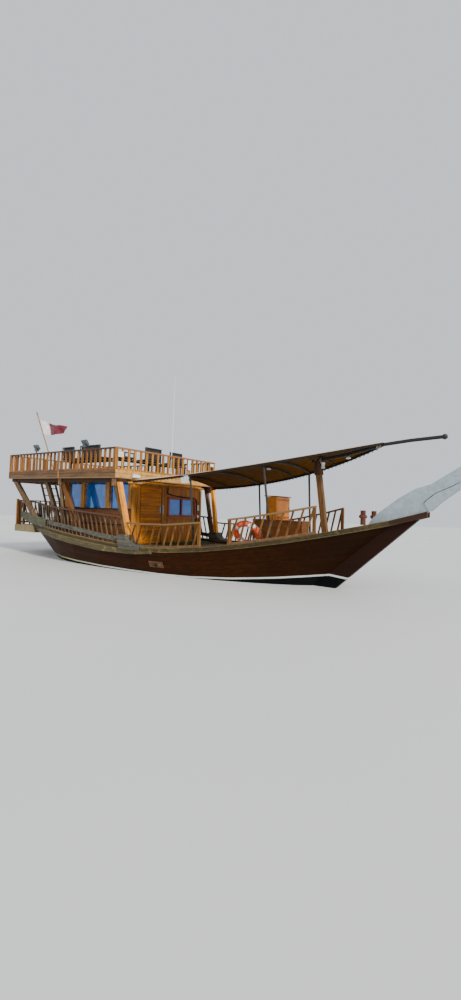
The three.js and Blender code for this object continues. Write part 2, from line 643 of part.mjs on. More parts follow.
// Steep ladder from the main deck through the hatch of the upper deck.
function buildLadder() {
  const { footX, topX, y0, y1, topZ, sideWide, sideThick, tread, treads } = ladder;
  const footZ = Math.max(deckTop(footX - sideWide / 2), deckTop(footX + sideWide / 2)) + gap;
  const sides = [y0 + sideThick / 2, y1 - sideThick / 2].map((y) => (
    timber(v3(footX, y, footZ), v3(topX, y, topZ), sideWide, sideThick)));
  const steps = range(treads).map((i) => {
    const t = (i + 1) / (treads + 0.6);
    const [x, z] = [mix(footX, topX, t), mix(footZ, topZ, t)];
    return block(x - tread / 2, x + tread / 2, y0 + 10, y1 - 10, z - 14, z + 14);
  });
  addPiece('stern_ladder', joined([...sides, ...steps]), colour.weathered, 'wood');
}

// Side windows: aft edge and fore edge.
const sideWindows = [[-4680, -3940], [-3730, -2580], [-2370, -1420]];
const sillZ = 1790;
const headGap = 80;

function buildHouse() {
  const { frontX, aftX, halfWidth: half, wall } = house;
  const topZ = (x) => underDeck(x) - gap * 2;
  const xs = stationsBetween(aftX, frontX);
  const sideOutline = [...xs.map((x) => [x, deckTop(x) + gap]), [frontX, topZ(frontX)], [aftX, topZ(aftX)]];
  const holes = sideWindows.map(([a, f]) => [[a, sillZ], [f, sillZ], [f, topZ(f) - headGap], [a, topZ(a) - headGap]]);
  for (const [sideName, side] of mirrored) {
    const faces = [side * half, side * (half - wall)].sort((a, b) => a - b);
    addPiece(`cabin_side_${sideName}`, sidePlate(sideOutline, faces[0], faces[1], holes), colour.wall, 'varnish');
    const inner = half - wall - gap;
    const pane = [side * inner, side * (inner - 10)].sort((a, b) => a - b);
    const x0 = sideWindows[0][0] - 30;
    const x1 = frontX - wall - 10;
    const glass = [[x0, sillZ - 30], [x1, sillZ - 30], [x1, topZ(x1) - headGap + 30], [x0, topZ(x0) - headGap + 30]];
    addPiece(`side_glass_${sideName}`, sidePlate(glass, pane[0], pane[1]), colour.glass, 'glass');
  }

  const inner = half - wall - gap * 2;
  const floorZ = deckTop(frontX - wall) + gap * 2;
  const front = block(frontX - wall, frontX, -inner, inner, floorZ, topZ(frontX));
  const doorHole = block(frontX - 100, frontX + 50, cabinDoor.hingeY - 8, cabinDoor.latchY + 8, 0, floorZ + 30 + cabinDoor.height);
  const windowHole = block(frontX - 100, frontX + 50, 10, 1210, 1640, 2150);
  addPiece('cabin_front', cut(front, [doorHole, windowHole]), colour.wall, 'varnish');
  addPiece('front_glass', block(frontX - wall - 11, frontX - wall - gap, -25, 1245, 1605, 2185), colour.glass, 'glass');
  const faceX = frontX - 5;
  const { hingeY, latchY, thick, height } = cabinDoor;
  const leaf = block(faceX - thick, faceX, hingeY, latchY, floorZ + 12, floorZ + 24 + height);
  const knuckles = [250, 900, 1550].map((up) => new THREE.CylinderGeometry(7.6, 7.6, 110, 12)
    .rotateX(Math.PI / 2).translate(faceX, hingeY, floorZ + up));
  addPiece('cabin_door', joined([leaf, ...knuckles]), colour.wall, 'varnish');

  const aftFloor = deckTop(aftX) + gap * 2;
  const aft = block(aftX, aftX + wall, -inner, inner, aftFloor, topZ(aftX + wall));
  const aftHole = block(aftX - 50, aftX + 100, -420, 420, 0, topZ(aftX) - 130);
  addPiece('cabin_aft', cut(aft, [aftHole]), colour.wall, 'varnish');

  const visorShape = new THREE.Shape();
  visorShape.moveTo(frontX + gap, -1700);
  visorShape.quadraticCurveTo(-830, 0, frontX + gap, 1700);
  const visor = new THREE.ExtrudeGeometry(visorShape, { depth: 45, bevelEnabled: false, curveSegments: 16 });
  addPiece('visor', visor.translate(0, 0, 2560), colour.pillar, 'wood');

  const helmX = -1640;
  const wheel = new THREE.TorusGeometry(270, 20, 8, 24).rotateY(Math.PI / 2).translate(helmX, 0, 0);
  const spokes = range(3).map((i) => block(helmX - 12, helmX + 12, -15, 15, -340, 340).rotateX(Math.PI * i / 3));
  const boss = rodAlongX(helmX - 40, frontX - wall - gap * 2, 40, 12);
  addPiece('helm_wheel', joined([wheel, ...spokes, boss]).translate(0, 700, 1290), colour.pillar, 'varnish');
}

// The awning: an arch across, whose edges close in towards the spar.
const edgeY = (x) => awning.halfWidth * (1 - ((x - awning.startX) / awning.reach) ** awning.widthPower) + 20;
const edgeZ = (x) => {
  const ahead = x - awning.startX;
  return awning.edgeZ + awning.edgeSlope * ahead + awning.edgeBend * ahead * ahead / 1000;
};
const archZ = (x, across) => edgeZ(x) + awning.crown * edgeY(x) * (1 - across * across);

function buildAwning() {
  const hoops = [                   // name, x of the top, x of the feet
    ['awning_hoop_aft', 1160, 1310],
    ['awning_hoop_fore', 3180, 3340],
  ];
  const bows = [['awning_bow_aft', -200], ['awning_bow_fore', 4120]];
  const along = [awning.aftX, -600, -200, 500, 1170, 1700, 2200, 2700, 3180, 3700, 4120, 4700, 5200, awning.foreX];
  const across = range(9).map((j) => mix(-1, 1, j / 8));
  const cloth = skin(along.map((x) => [
    ...across.map((c) => v3(x, c * edgeY(x), archZ(x, c))),
    ...across.map((c) => v3(x, c * edgeY(x), archZ(x, c) + awning.cloth)).reverse(),
  ]));
  addPiece('awning', cloth, colour.canvas, 'cloth');

  for (const [sideName, side] of mirrored) {
    const points = along.map((x) => v3(x, side * Math.max(edgeY(x) - tube, 70), edgeZ(x) - 2 * tube));
    const edge = seated(roundBar(points, tube, v3(0, 0, 1)), cloth, up);
    addPiece(`awning_edge_${sideName}`, edge, colour.black, 'metal');
  }

  // The bows arch from one edge tube to the other under the cloth.
  const bowAt = (x, radius, drop) => {
    const end = 1 - (2 * tube + radius + 12) / edgeY(x);
    return across.map((c) => {
      const t = clamp(c, -end, end);
      return v3(x, t * edgeY(x), archZ(x, t) - radius - drop);
    });
  };
  for (const [name, topX, footX] of hoops) {
    const footStart = deckTop(footX + hoopTube) + 30;
    const build = (drop, footZ) => {
      const arch = bowAt(topX, hoopTube, drop);
      const footY = Math.min(capInner(footX) - hoopTube - 8, arch[8].y + 40);
      const leg = (side) => v3(topX, side * footY, footZ);
      const hoop = roundBar([leg(-1), ...arch, leg(1)], hoopTube, v3(1, 0, 0));
      const lean = (footX - topX) / (arch[8].z - footStart);
      const position = hoop.getAttribute('position');
      for (let i = 0; i < position.count; i++) {        // the posts rake aft towards the top
        const down = Math.max(arch[8].z - position.getZ(i), 0);
        const onFoot = position.getZ(i) < footZ + hoopTube * 2;
        position.setX(i, position.getX(i) + lean * down);
        position.setZ(i, onFoot ? footZ : position.getZ(i));
      }
      return hoop;
    };
    let drop = 12;
    for (let i = 0; i < 8; i++) {
      drop -= roomTo(build(drop, footStart), cloth);
    }
    addPiece(name, fitted((z) => build(drop, z), footStart, pieces.main_deck, -1), colour.steel, 'metal');
  }
  for (const [name, x] of bows) {
    const bow = seated(roundBar(bowAt(x, 20, 12), 20, v3(1, 0, 0)), cloth, up);
    addPiece(name, bow, colour.black, 'metal');
  }

  // The spar lies under the bows and comes up to the cloth where the awning ends.
  const sparZ = (x) => archZ(x, 0) - mix(100, 46, clamp((x - 4800) / 900, 0, 1));
  const sparLine = [...[3900, 4350, 4800, 5250, 5690].map((x) => v3(x, 0, sparZ(x))), v3(6300, 0, 3455), v3(6960, 0, 3478)];
  const ball = new THREE.SphereGeometry(62, 12, 8).translate(6985, 0, 3478);
  const spar = seated(joined([roundBar(sparLine, 40, v3(0, 1, 0)), ball]), cloth, up);
  addPiece('spar', spar, colour.black, 'paint');

  const mastX = 4040;
  const mastWide = 128;
  const mastFoot = v3(4290, 0, deckTop(4290 + 85) + gap);
  const mast = fitted((z) => timber(mastFoot, v3(mastX, 0, z), mastWide, mastWide), sparZ(mastX) - 150, spar, 1);
  addPiece('mast', mast, colour.pillar, 'wood');
}

function buildForedeck() {
  const { aftX, foreX, y0, y1, top, wall, doorThick } = locker;
  const floor = deckTop(chest.foreX) + gap * 2;
  const chestBox = block(chest.aftX, chest.foreX, chest.y0, chest.y1, floor, chest.top);
  const chestEnd = block(chest.aftX, chest.wideForeX, chest.y0, chest.wideY1, deckTop(chest.wideForeX) + gap * 2, chest.top);
  const cabinet = block(aftX, foreX, y0, y1, chest.top - 20, top);
  const inside = block(aftX + wall, foreX + 10, y0 + wall, y1 - wall, chest.top + wall, top - wall);
  addPiece('locker', cut(joined([chestBox, chestEnd, cabinet]), [inside]), colour.orange, 'wood');
  const door = block(foreX + gap, foreX + doorThick, y0 + 5, y1 - 5, chest.top + 10, top - 8);
  addPiece('locker_door', door, colour.orange, 'wood');

  // The lifebuoy stands on the deck and leans outboard against the fore rail.
  const buoyX = 2680;
  const ring = new THREE.TorusGeometry(300, 76, 10, 26).rotateX(THREE.MathUtils.degToRad(90 + 34));
  ring.rotateZ(THREE.MathUtils.degToRad(13)).translate(buoyX, -(railY(buoyX) - 480), capTop(buoyX) + 500);
  seated(ring, pieces.main_deck, down);
  addPiece('lifebuoy', seated(ring, pieces.fore_rail_stbd, v3(0, -1, 0)), colour.buoy, 'paint');

  for (const [sideName, side] of mirrored) {
    const bittX = 5376;
    const y = side * (halfWidth(bittX) - 40);
    const tall = 330;
    const foot = capTop(bittX) + 20;
    const post = new THREE.CylinderGeometry(60, 60, tall, 10).rotateX(Math.PI / 2).translate(bittX, y, foot + tall / 2);
    const roll = new THREE.CylinderGeometry(42, 42, 300, 10).translate(bittX, y, foot + 190);
    addPiece(`bitt_${sideName}`, seated(joined([post, roll]), pieces[`cap_board_${sideName}`], down), colour.stem, 'wood');
  }
}

buildHull();
buildBackbone();
buildDeckEdge();
buildSideRails();
buildGallery();
buildDrive();
buildUpperDeck();
buildPillars();
buildLadder();
buildHouse();
buildAwning();
buildForedeck();

export default boat;
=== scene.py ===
import math

import bmesh
import bpy
import numpy as np
from mathutils import Matrix, Vector


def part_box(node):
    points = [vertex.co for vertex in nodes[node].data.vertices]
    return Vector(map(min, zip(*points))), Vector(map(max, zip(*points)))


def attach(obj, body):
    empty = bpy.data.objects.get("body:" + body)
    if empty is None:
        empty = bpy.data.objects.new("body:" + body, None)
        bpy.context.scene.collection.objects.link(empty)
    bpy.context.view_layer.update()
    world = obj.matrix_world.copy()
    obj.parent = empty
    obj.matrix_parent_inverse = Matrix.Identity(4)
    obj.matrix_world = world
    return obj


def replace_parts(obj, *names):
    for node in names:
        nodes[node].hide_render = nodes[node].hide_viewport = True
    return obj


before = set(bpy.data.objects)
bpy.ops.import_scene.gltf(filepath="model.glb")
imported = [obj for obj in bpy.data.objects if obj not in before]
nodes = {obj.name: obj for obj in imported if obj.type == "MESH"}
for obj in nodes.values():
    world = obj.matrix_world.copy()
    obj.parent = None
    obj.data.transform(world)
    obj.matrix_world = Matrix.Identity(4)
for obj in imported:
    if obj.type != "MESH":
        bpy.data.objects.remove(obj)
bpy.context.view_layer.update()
print("frame loaded,", len(nodes), "nodes")


# Camera, solved from points on the boat

camera = {
    "place": (9.0965, -9.9459, 1.7419),
    "right": (0.785880, 0.617773, 0.027359),
    "up": (-0.002493, -0.041078, 0.999153),
    "forward": (-0.618374, 0.785282, 0.030743),
    "lens": 15.615,        # for a 36 mm sensor on the picture's longer side
    "sensor": 36.0,
}


def placeCamera():
    data = bpy.data.cameras.new("camera")
    data.lens = camera["lens"]
    data.sensor_width = camera["sensor"]
    data.clip_end = 500
    eye = bpy.data.objects.new("camera", data)
    backward = -Vector(camera["forward"])
    turn = Matrix((camera["right"], camera["up"], backward)).transposed()
    eye.matrix_world = Matrix.Translation(camera["place"]) @ turn.to_4x4()
    bpy.context.scene.collection.objects.link(eye)
    bpy.context.scene.camera = eye


placeCamera()
print("camera placed")


# Node helpers

work = {}    # the material that is being made, and the node tree that the helpers add to


def tone(code):    # "#rrggbb" as it looks, in linear light
    parts = [int(code[i:i + 2], 16) / 255 for i in (1, 3, 5)]
    linear = [c / 12.92 if c <= 0.04045 else ((c + 0.055) / 1.055) ** 2.4 for c in parts]
    return (*linear, 1.0)


def feed(socket, value):    # a link, a colour code or a plain value
    if isinstance(value, bpy.types.NodeSocket):
        work["tree"].links.new(value, socket)
    else:
        socket.default_value = tone(value) if isinstance(value, str) else value


def put(kind, inputs=None, **settings):
    node = work["tree"].nodes.new("ShaderNode" + kind)
    for key, value in settings.items():
        setattr(node, key, value)
    for key, value in (inputs or {}).items():
        feed(node.inputs[key], value)
    return node


def calc(operation, a, b=0.0, clamp=False):
    return put("Math", {0: a, 1: b}, operation=operation, use_clamp=clamp).outputs[0]


def plus(a, b, clamp=False):
    return calc("ADD", a, b, clamp)


def minus(a, b):
    return calc("SUBTRACT", a, b)


def times(a, b):
    return calc("MULTIPLY", a, b)


def ramp(value, low, high, start=0.0, end=1.0):    # smooth step from start to end
    inputs = {"Value": value, "From Min": low, "From Max": high, "To Min": start, "To Max": end}
    return put("MapRange", inputs, interpolation_type="SMOOTHSTEP").outputs["Result"]


def noise(place, scale, detail, roughness=0.5):
    inputs = {"Vector": place, "Scale": scale, "Detail": detail, "Roughness": roughness}
    return put("TexNoise", inputs).outputs["Fac"]


def blendColor(amount, a, b, mode="MIX"):
    return put("Mix", {0: amount, 6: a, 7: b}, data_type="RGBA", blend_type=mode).outputs[2]


def fade(value, low, high, a, b):    # colour a below low, colour b above high
    return blendColor(ramp(value, low, high), a, b)


def makeGroup(name, inputs, outputs):
    group = bpy.data.node_groups.new(name, "ShaderNodeTree")
    for label, kind, value in inputs:
        socket = group.interface.new_socket(label, in_out="INPUT", socket_type="NodeSocket" + kind)
        if value is not None:
            socket.default_value = value
    for label in outputs:
        group.interface.new_socket(label, in_out="OUTPUT", socket_type="NodeSocketFloat")
    work["tree"] = group
    given = group.nodes.new("NodeGroupInput").outputs
    made = group.nodes.new("NodeGroupOutput").inputs
    return group, given, made


def useGroup(group, inputs):
    return put("Group", inputs, node_tree=group).outputs


# Effects that several finishes share

def buildGrain():
    # long grain: noise on coordinates squeezed along the grain, and slow blotches over it
    inputs = [("Place", "Vector", None), ("Squeeze", "Vector", (1.0, 20.0, 20.0)), ("Fineness", "Float", 1.0)]
    group, given, made = makeGroup("timberGrain", inputs, ["Grain", "Blotch", "Pores"])
    place = given["Place"]
    squeezed = put("VectorMath", {0: place, 1: given["Squeeze"]}, operation="MULTIPLY").outputs[0]
    warp = put("TexNoise", {"Vector": place, "Scale": 1.6, "Detail": 2.0}).outputs["Color"]
    push = {0: warp, 1: (1.4, 1.4, 1.4), 2: squeezed}
    pushed = put("VectorMath", push, operation="MULTIPLY_ADD").outputs[0]
    feed(made["Grain"], noise(pushed, given["Fineness"], 5.0, 0.62))
    feed(made["Blotch"], noise(place, 1.1, 4.0, 0.6))
    feed(made["Pores"], noise(squeezed, 5.0, 2.0))
    return group


def buildBoards():
    # boards: how near the closest seam is, and a number for each board
    inputs = [("Across", "Float", 0.0), ("Width", "Float", 0.15), ("Gap", "Float", 0.004)]
    group, given, made = makeGroup("boardSeams", inputs, ["Seam", "Board"])
    count = calc("DIVIDE", given["Across"], given["Width"])
    inside = calc("FRACT", count)
    distance = times(calc("MINIMUM", inside, minus(1.0, inside)), given["Width"])
    feed(made["Seam"], ramp(distance, given["Gap"], 0.0))
    number = put("TexWhiteNoise", {"W": calc("FLOOR", count)}, noise_dimensions="1D")
    feed(made["Board"], number.outputs["Value"])
    return group


def buildWeather():
    # weathering: patches where the finish has gone, more of them as Amount rises, and dirt
    inputs = [("Place", "Vector", None), ("Amount", "Float", 0.3), ("Size", "Float", 3.0)]
    group, given, made = makeGroup("weatherPatches", inputs, ["Mask", "Dirt"])
    patch = noise(given["Place"], given["Size"], 8.0, 0.72)
    level = minus(0.78, times(given["Amount"], 0.5))
    mask = put("MapRange", {"Value": patch, "From Min": level, "From Max": plus(level, 0.1)})
    feed(made["Mask"], mask.outputs["Result"])
    feed(made["Dirt"], noise(given["Place"], 9.0, 6.0, 0.7))
    return group


def buildWeave():
    # canvas weave: two sets of ribs crossing on a flat coordinate pair
    inputs = [("Flat", "Vector", None), ("Threads", "Float", 500.0)]
    group, given, made = makeGroup("canvasWeave", inputs, ["Height"])
    flat = put("SeparateXYZ", {0: given["Flat"]}).outputs
    warp, weft = [calc("SINE", times(flat[axis], given["Threads"])) for axis in "XY"]
    feed(made["Height"], times(warp, weft))
    return group


grainGroup = buildGrain()
boardGroup = buildBoards()
weatherGroup = buildWeather()
weaveGroup = buildWeave()
print("shared effects built")


def weathered(place, amount, size):    # mask of bare patches, and dirt
    outputs = useGroup(weatherGroup, {"Place": place, "Amount": amount, "Size": size})
    return outputs["Mask"], outputs["Dirt"]


# Every finish starts and ends alike, and most are timber

squeezeFor = {"x": (1.0, 22.0, 22.0), "y": (22.0, 1.0, 22.0), "z": (22.0, 22.0, 1.0)}


def startMaterial(name):
    # gives the place on the object, and that place and the facing along X, Y and Z
    work["material"] = bpy.data.materials.new(name)
    work["material"].use_nodes = True
    work["tree"] = work["material"].node_tree
    work["tree"].nodes.clear()
    coordinates = put("TexCoord").outputs
    at = put("SeparateXYZ", {0: coordinates["Object"]}).outputs
    facing = put("SeparateXYZ", {0: coordinates["Normal"]}).outputs
    return coordinates["Object"], at, facing


def endMaterial(color, rough, height=None, strength=0.4, depth=0.004, shine=0.5, metal=0.0, coat=0.0,
                coatRough=0.03, sheen=0.0):
    surface = put("BsdfPrincipled", {
        "Base Color": color, "Roughness": rough, "Specular IOR Level": shine, "Metallic": metal,
        "Coat Weight": coat, "Coat Roughness": coatRough, "Sheen Weight": sheen,
    })
    if height is not None:
        bump = put("Bump", {"Strength": strength, "Distance": depth, "Height": height})
        feed(surface.inputs["Normal"], bump.outputs["Normal"])
    put("OutputMaterial", {"Surface": surface.outputs["BSDF"]})
    return work["material"]


def timberParts(place, across, look):
    # grain between two tones, a shade for each board, bare patches and dark seams
    grain = useGroup(grainGroup, {
        "Place": place, "Squeeze": squeezeFor[look["along"]], "Fineness": look.get("fine", 1.0),
    })
    planks = useGroup(boardGroup, {"Across": across, "Width": look["board"], "Gap": look["gap"]})
    bare, dirt = weathered(place, look["worn"], look.get("patch", 3.0))
    color = fade(grain["Grain"], 0.32, 0.68, look["dark"], look["light"])
    spread = ramp(planks["Board"], 0.0, 1.0, 1.0 - look["vary"], 1.0 + look["vary"])
    shade = times(spread, ramp(grain["Blotch"], 0.3, 0.7, 0.82, 1.12))
    grey = put("CombineColor", {0: shade, 1: shade, 2: shade}).outputs[0]
    color = blendColor(1.0, color, grey, "MULTIPLY")
    color = blendColor(bare, color, look["bare"])
    color = blendColor(times(planks["Seam"], 0.85), color, look["seam"])
    height = minus(plus(grain["Grain"], times(grain["Pores"], 0.35)), times(planks["Seam"], 2.5))
    rough = plus(look["rough"], times(bare, 0.3))
    rough = plus(rough, times(minus(grain["Blotch"], 0.5), 0.3), clamp=True)
    return color, rough, height, dirt


def timber(name, look):
    place, at, _ = startMaterial(name)
    color, rough, height, _ = timberParts(place, at[look["across"].upper()], look)
    return endMaterial(color, rough, height, 0.45, shine=0.22, coat=look.get("coat", 0.0), coatRough=0.2)


def heightOver(at, points):
    # a height that changes along the boat: the curve through points (x, z)
    xs, zs = np.transpose(points)
    lowX, highX, lowZ, highZ = xs.min(), xs.max(), zs.min() - 0.01, zs.max() + 0.01
    share = put("MapRange", {"Value": at["X"], "From Min": lowX, "From Max": highX}).outputs["Result"]
    node = put("FloatCurve", {"Value": share})
    curve = node.mapping.curves[0]
    spots = np.column_stack([(xs - lowX) / (highX - lowX), (zs - lowZ) / (highZ - lowZ)])
    curve.points[0].location = spots[0]
    curve.points[1].location = spots[-1]
    for spot in spots[1:-1]:
        curve.points.new(*spot)
    for point in curve.points:
        point.handle_type = "VECTOR"
    node.mapping.update()
    return put("MapRange", {"Value": node.outputs[0], "To Min": lowZ, "To Max": highZ}).outputs["Result"]


# Lines that many pieces follow: the sheer, the boot stripe and the upper deck's slope

sheer = {
    "low": 0.735, "lowAt": -0.2, "capDeep": 0.125, "deckBelow": 0.0747,
    "foreRise": 1.17, "foreLong": 6.92, "forePower": 1.7, "aftRise": 0.575, "aftLong": 7.2, "aftPower": 1.3,
}
upper = {
    "rise": math.radians(1.35), "x": -1.25, "z": 2.675,    # it climbs aft from this front lower edge
    "thick": 0.25, "railHigh": 0.66, "topRail": 0.055,
}
stripePoints = [(-7.4, 0.24), (-6.0, 0.155), (-4.3, 0.09), (-2.0, 0.03), (0.24, 0.0), (1.18, 0.006),
                (2.27, 0.058), (3.3, 0.150), (4.46, 0.285), (4.97, 0.236), (5.4, 0.192)]


def sheerAt(x):    # top of the cap boards: one power curve forward of the lowest place, another aft of it
    ahead = np.clip(x - sheer["lowAt"], 0, None) / sheer["foreLong"]
    behind = np.clip(sheer["lowAt"] - x, 0, None) / sheer["aftLong"]
    climb = sheer["foreRise"] * ahead ** sheer["forePower"] + sheer["aftRise"] * behind ** sheer["aftPower"]
    return sheer["low"] + climb


sheerX = np.array([-8.7, -7.3, -6.0, -4.8, -3.6, -2.4, -1.2, -0.2, 0.8, 1.8, 2.8, 3.8, 4.8, 5.8, 6.7])
sheerPoints = np.column_stack([sheerX, sheerAt(sheerX)])
upperSlope = math.tan(upper["rise"])
upperLow = upper["z"] + upper["x"] * upperSlope


def upperLevel(at):    # a height that stays the same all along the upper deck's slope
    return plus(at["Z"], times(at["X"], upperSlope))


# Hull, keel and rudder: dark varnish, white boot stripe, black bottom

hullLook = {
    "dark": "#2b1201", "light": "#391b04", "seam": "#150800", "bare": "#472509", "along": "x", "across": "z",
    "board": 0.071, "gap": 0.005, "vary": 0.10, "worn": 0.04, "rough": 0.5, "fine": 0.8,
    "stripe": "#dfe2de", "stripeAged": "#b3a86a", "stripeDirt": "#7d755c", "stripeWide": 0.048,
    "bottom": "#05080b", "bottomAged": "#101a17", "splash": "#1d1712", "bowShade": "#1c0b00",
}
stemLook = dict(hullLook, dark="#20100a", light="#321b12", bowShade="#2a170f", board=5.0, worn=0.15,
                rough=0.55)


def hullPaint(name, look, keelZ):
    # strakes are equal shares of the height from the keel to the cap boards
    place, at, _ = startMaterial(name)
    top = minus(heightOver(at, sheerPoints), sheer["capDeep"])
    share = calc("DIVIDE", minus(at["Z"], keelZ), minus(top, keelZ))
    color, rough, height, dirt = timberParts(place, share, look)
    shade = times(ramp(at["X"], 1.2, 5.2), ramp(at["Z"], 0.1, 1.1, 0.45, 0.75))
    color = blendColor(shade, color, look["bowShade"])
    above = minus(at["Z"], heightOver(at, stripePoints))
    white = fade(at["X"], -1.0, -5.0, look["stripe"], look["stripeAged"])
    white = blendColor(ramp(dirt, 0.5, 0.75, 0.0, 0.45), white, look["stripeDirt"])
    wide = look["stripeWide"]
    onStripe = times(ramp(above, -0.003, 0.003), ramp(above, wide + 0.003, wide - 0.003))
    splash = times(ramp(above, 0.22, 0.03), ramp(dirt, 0.42, 0.7, 0.0, 0.5))
    color = blendColor(splash, color, look["splash"])
    black = blendColor(ramp(dirt, 0.45, 0.75, 0.0, 0.5), look["bottom"], look["bottomAged"])
    color = blendColor(onStripe, color, white)
    color = fade(above, 0.003, -0.003, color, black)
    return endMaterial(color, rough, height, 0.35, shine=0.07)


# Cap boards and wales: worn olive paint, bare pinkish top, edges lightened by a painted highlight

capLook = {
    "dark": "#372d18", "light": "#554929", "seam": "#241d0f", "bare": "#6b5a39", "along": "x", "across": "y",
    "board": 5.0, "gap": 0.004, "vary": 0.05, "worn": 0.45, "rough": 0.68, "patch": 5.0, "fine": 1.2,
    "top": "#a57a5c", "topWorn": "#7d5c49", "edge": "#786a43", "edgeHighlightWide": 0.026, "bow": "#3a2016",
    "bowTop": "#6b4336", "foreShade": "#1c150b",
}
# the wales' under colour is a painted shade for their downward faces
waleLook = dict(capLook, dark="#524a31", light="#6f6446", bare="#8a7d5e", top="#8a7f5c", under="#1e140c")


def capPaint(name, look):
    place, at, facing = startMaterial(name)
    color, rough, height, dirt = timberParts(place, at["Y"], look)
    topColor = fade(dirt, 0.35, 0.65, look["top"], look["topWorn"])
    under = minus(heightOver(at, sheerPoints), at["Z"])
    wide, deep = look["edgeHighlightWide"], sheer["capDeep"]
    # the light bands along the upper and lower edges are a painted highlight on the rounded edges, dimmed
    # where the dirt is
    upperEdgeHighlight = ramp(under, wide, wide - 0.016)
    lowerEdgeHighlight = ramp(under, deep - wide, deep - wide + 0.016)
    edge = times(calc("MAXIMUM", upperEdgeHighlight, lowerEdgeHighlight), ramp(dirt, 0.3, 0.6, 0.95, 0.45))
    color = blendColor(edge, color, look["edge"])
    color = blendColor(ramp(at["X"], -0.5, 2.5, 0.0, 0.42), color, look["foreShade"])
    atBow = ramp(at["X"], 5.7, 6.3)
    color = blendColor(times(atBow, ramp(dirt, 0.3, 0.6, 1.0, 0.75)), color, look["bow"])
    topColor = blendColor(atBow, topColor, look["bowTop"])
    color = fade(facing["Z"], 0.55, 0.85, color, topColor)
    return endMaterial(color, rough, height, 0.5, shine=0.2)


def walePaint(name, look):
    place, at, facing = startMaterial(name)
    color, rough, height, _ = timberParts(place, at["Y"], look)
    color = fade(facing["Z"], 0.35, 0.7, color, look["top"])
    # downward faces take the under colour, which is painted shade
    color = fade(facing["Z"], -0.3, -0.7, color, look["under"])
    return endMaterial(color, rough, height, 0.5, shine=0.2)


# Rails

railLook = {
    "dark": "#623a12", "light": "#a06a2c", "seam": "#2c1b0c", "bare": "#7c5c36", "along": "z", "across": "x",
    "board": 0.25, "gap": 0.0005, "vary": 0.22, "worn": 0.22, "rough": 0.5, "patch": 6.0, "coat": 0.1,
    "topRail": "#4c3423",
}
sunnyRailLook = dict(railLook, across="y", dark="#825018", light="#c08638", topRail="#8f6136")
aftRailLook = dict(railLook, across="y", topRail="#8f6136")
weatheredLook = {
    "dark": "#402f20", "light": "#6c543c", "seam": "#281c12", "bare": "#77705f", "along": "z", "across": "x",
    "board": 0.24, "gap": 0.0005, "vary": 0.18, "worn": 0.42, "rough": 0.72, "patch": 6.0,
    "plank": "#4b4a40", "plankLight": "#68655a", "crack": "#2f2c27", "stern": "#3f412c",
    "handrail": "#5a4034",
}
waistLook = dict(weatheredLook, dark="#4e3016", light="#82592c", bare="#85704e", worn=0.3, plank="#62422c",
                 plankLight="#7a5a40", handrail="#7a5e3c")


def upperRailPaint(name, look):
    place, at, _ = startMaterial(name)
    color, rough, height, _ = timberParts(place, at[look["across"].upper()], look)
    topFrom = upperLow + upper["thick"] + upper["railHigh"] - upper["topRail"]
    color = fade(upperLevel(at), topFrom, topFrom + 0.012, color, look["topRail"])
    return endMaterial(color, rough, height, 0.4, shine=0.22, coat=look["coat"] * 0.5)


def sideRailPaint(name, look, handrailFrom, plankHigh):
    # cracked wide planks below, posts above them, the handrail above the line handrailFrom
    place, at, facing = startMaterial(name)
    color, rough, height, dirt = timberParts(place, at["X"], look)
    stretched = put("VectorMath", {0: place, 1: (2.0, 30.0, 55.0)}, operation="MULTIPLY").outputs[0]
    plank = fade(dirt, 0.35, 0.65, look["plank"], look["plankLight"])
    plank = fade(noise(stretched, 1.0, 6.0), 0.40, 0.34, plank, look["crack"])
    plank = fade(at["X"], -5.0, -6.4, plank, look["stern"])
    over = minus(at["Z"], heightOver(at, sheerPoints))
    outward = ramp(calc("ABSOLUTE", facing["Y"]), 0.85, 0.95)
    wideFace = times(ramp(over, plankHigh + 0.006, plankHigh - 0.006), outward)
    color = blendColor(wideFace, color, plank)
    overHandrail = minus(at["Z"], heightOver(at, handrailFrom))
    color = fade(overHandrail, -0.01, 0.004, color, look["handrail"])
    return endMaterial(color, rough, height, 0.5, shine=0.2)


# Upper deck: weathered side fascia, sunlit front fascia, lighter lower edge, planked top, painted shade on
# the underside

upperLook = {
    "dark": "#5a402a", "light": "#80603f", "seam": "#2a1d12", "bare": "#8a7050", "along": "x",
    "board": 0.3, "boardFrom": 0.135, "gap": 0.004, "vary": 0.08, "worn": 0.3, "rough": 0.62, "patch": 2.5,
    "front": "#d2a25c", "frontDark": "#a8793c", "lip": "#8a6c48", "under": "#4a2f18", "seamAt": 0.152,
    "top": "#8c7658", "topDark": "#6e5a43", "topSeam": "#221a13", "topBoard": 0.14,
}


def upperDeckPaint(name, look):
    place, at, facing = startMaterial(name)
    up = minus(upperLevel(at), upperLow)
    color, rough, height, dirt = timberParts(place, plus(up, look["boardFrom"]), look)
    frontColor = fade(dirt, 0.35, 0.68, look["front"], look["frontDark"])
    color = fade(facing["X"], 0.7, 0.9, color, frontColor)
    color = fade(up, 0.034, 0.022, color, look["lip"])
    fromSeam = calc("ABSOLUTE", minus(up, look["seamAt"]))
    color = fade(fromSeam, 0.007, 0.002, color, look["seam"])
    decking = useGroup(boardGroup, {"Across": at["Y"], "Width": look["topBoard"], "Gap": 0.006})
    planks = blendColor(ramp(decking["Board"], 0.0, 1.0, 0.0, 0.6), look["top"], look["topDark"])
    planks = blendColor(decking["Seam"], planks, look["topSeam"])
    color = fade(facing["Z"], 0.6, 0.9, color, planks)
    # downward faces take the under colour, which is painted shade
    color = fade(facing["Z"], -0.6, -0.9, color, look["under"])
    return endMaterial(color, rough, height, 0.5, shine=0.22)


# Pillars: a bright new one forward, a weathered one beside it, brown and grey ones aft

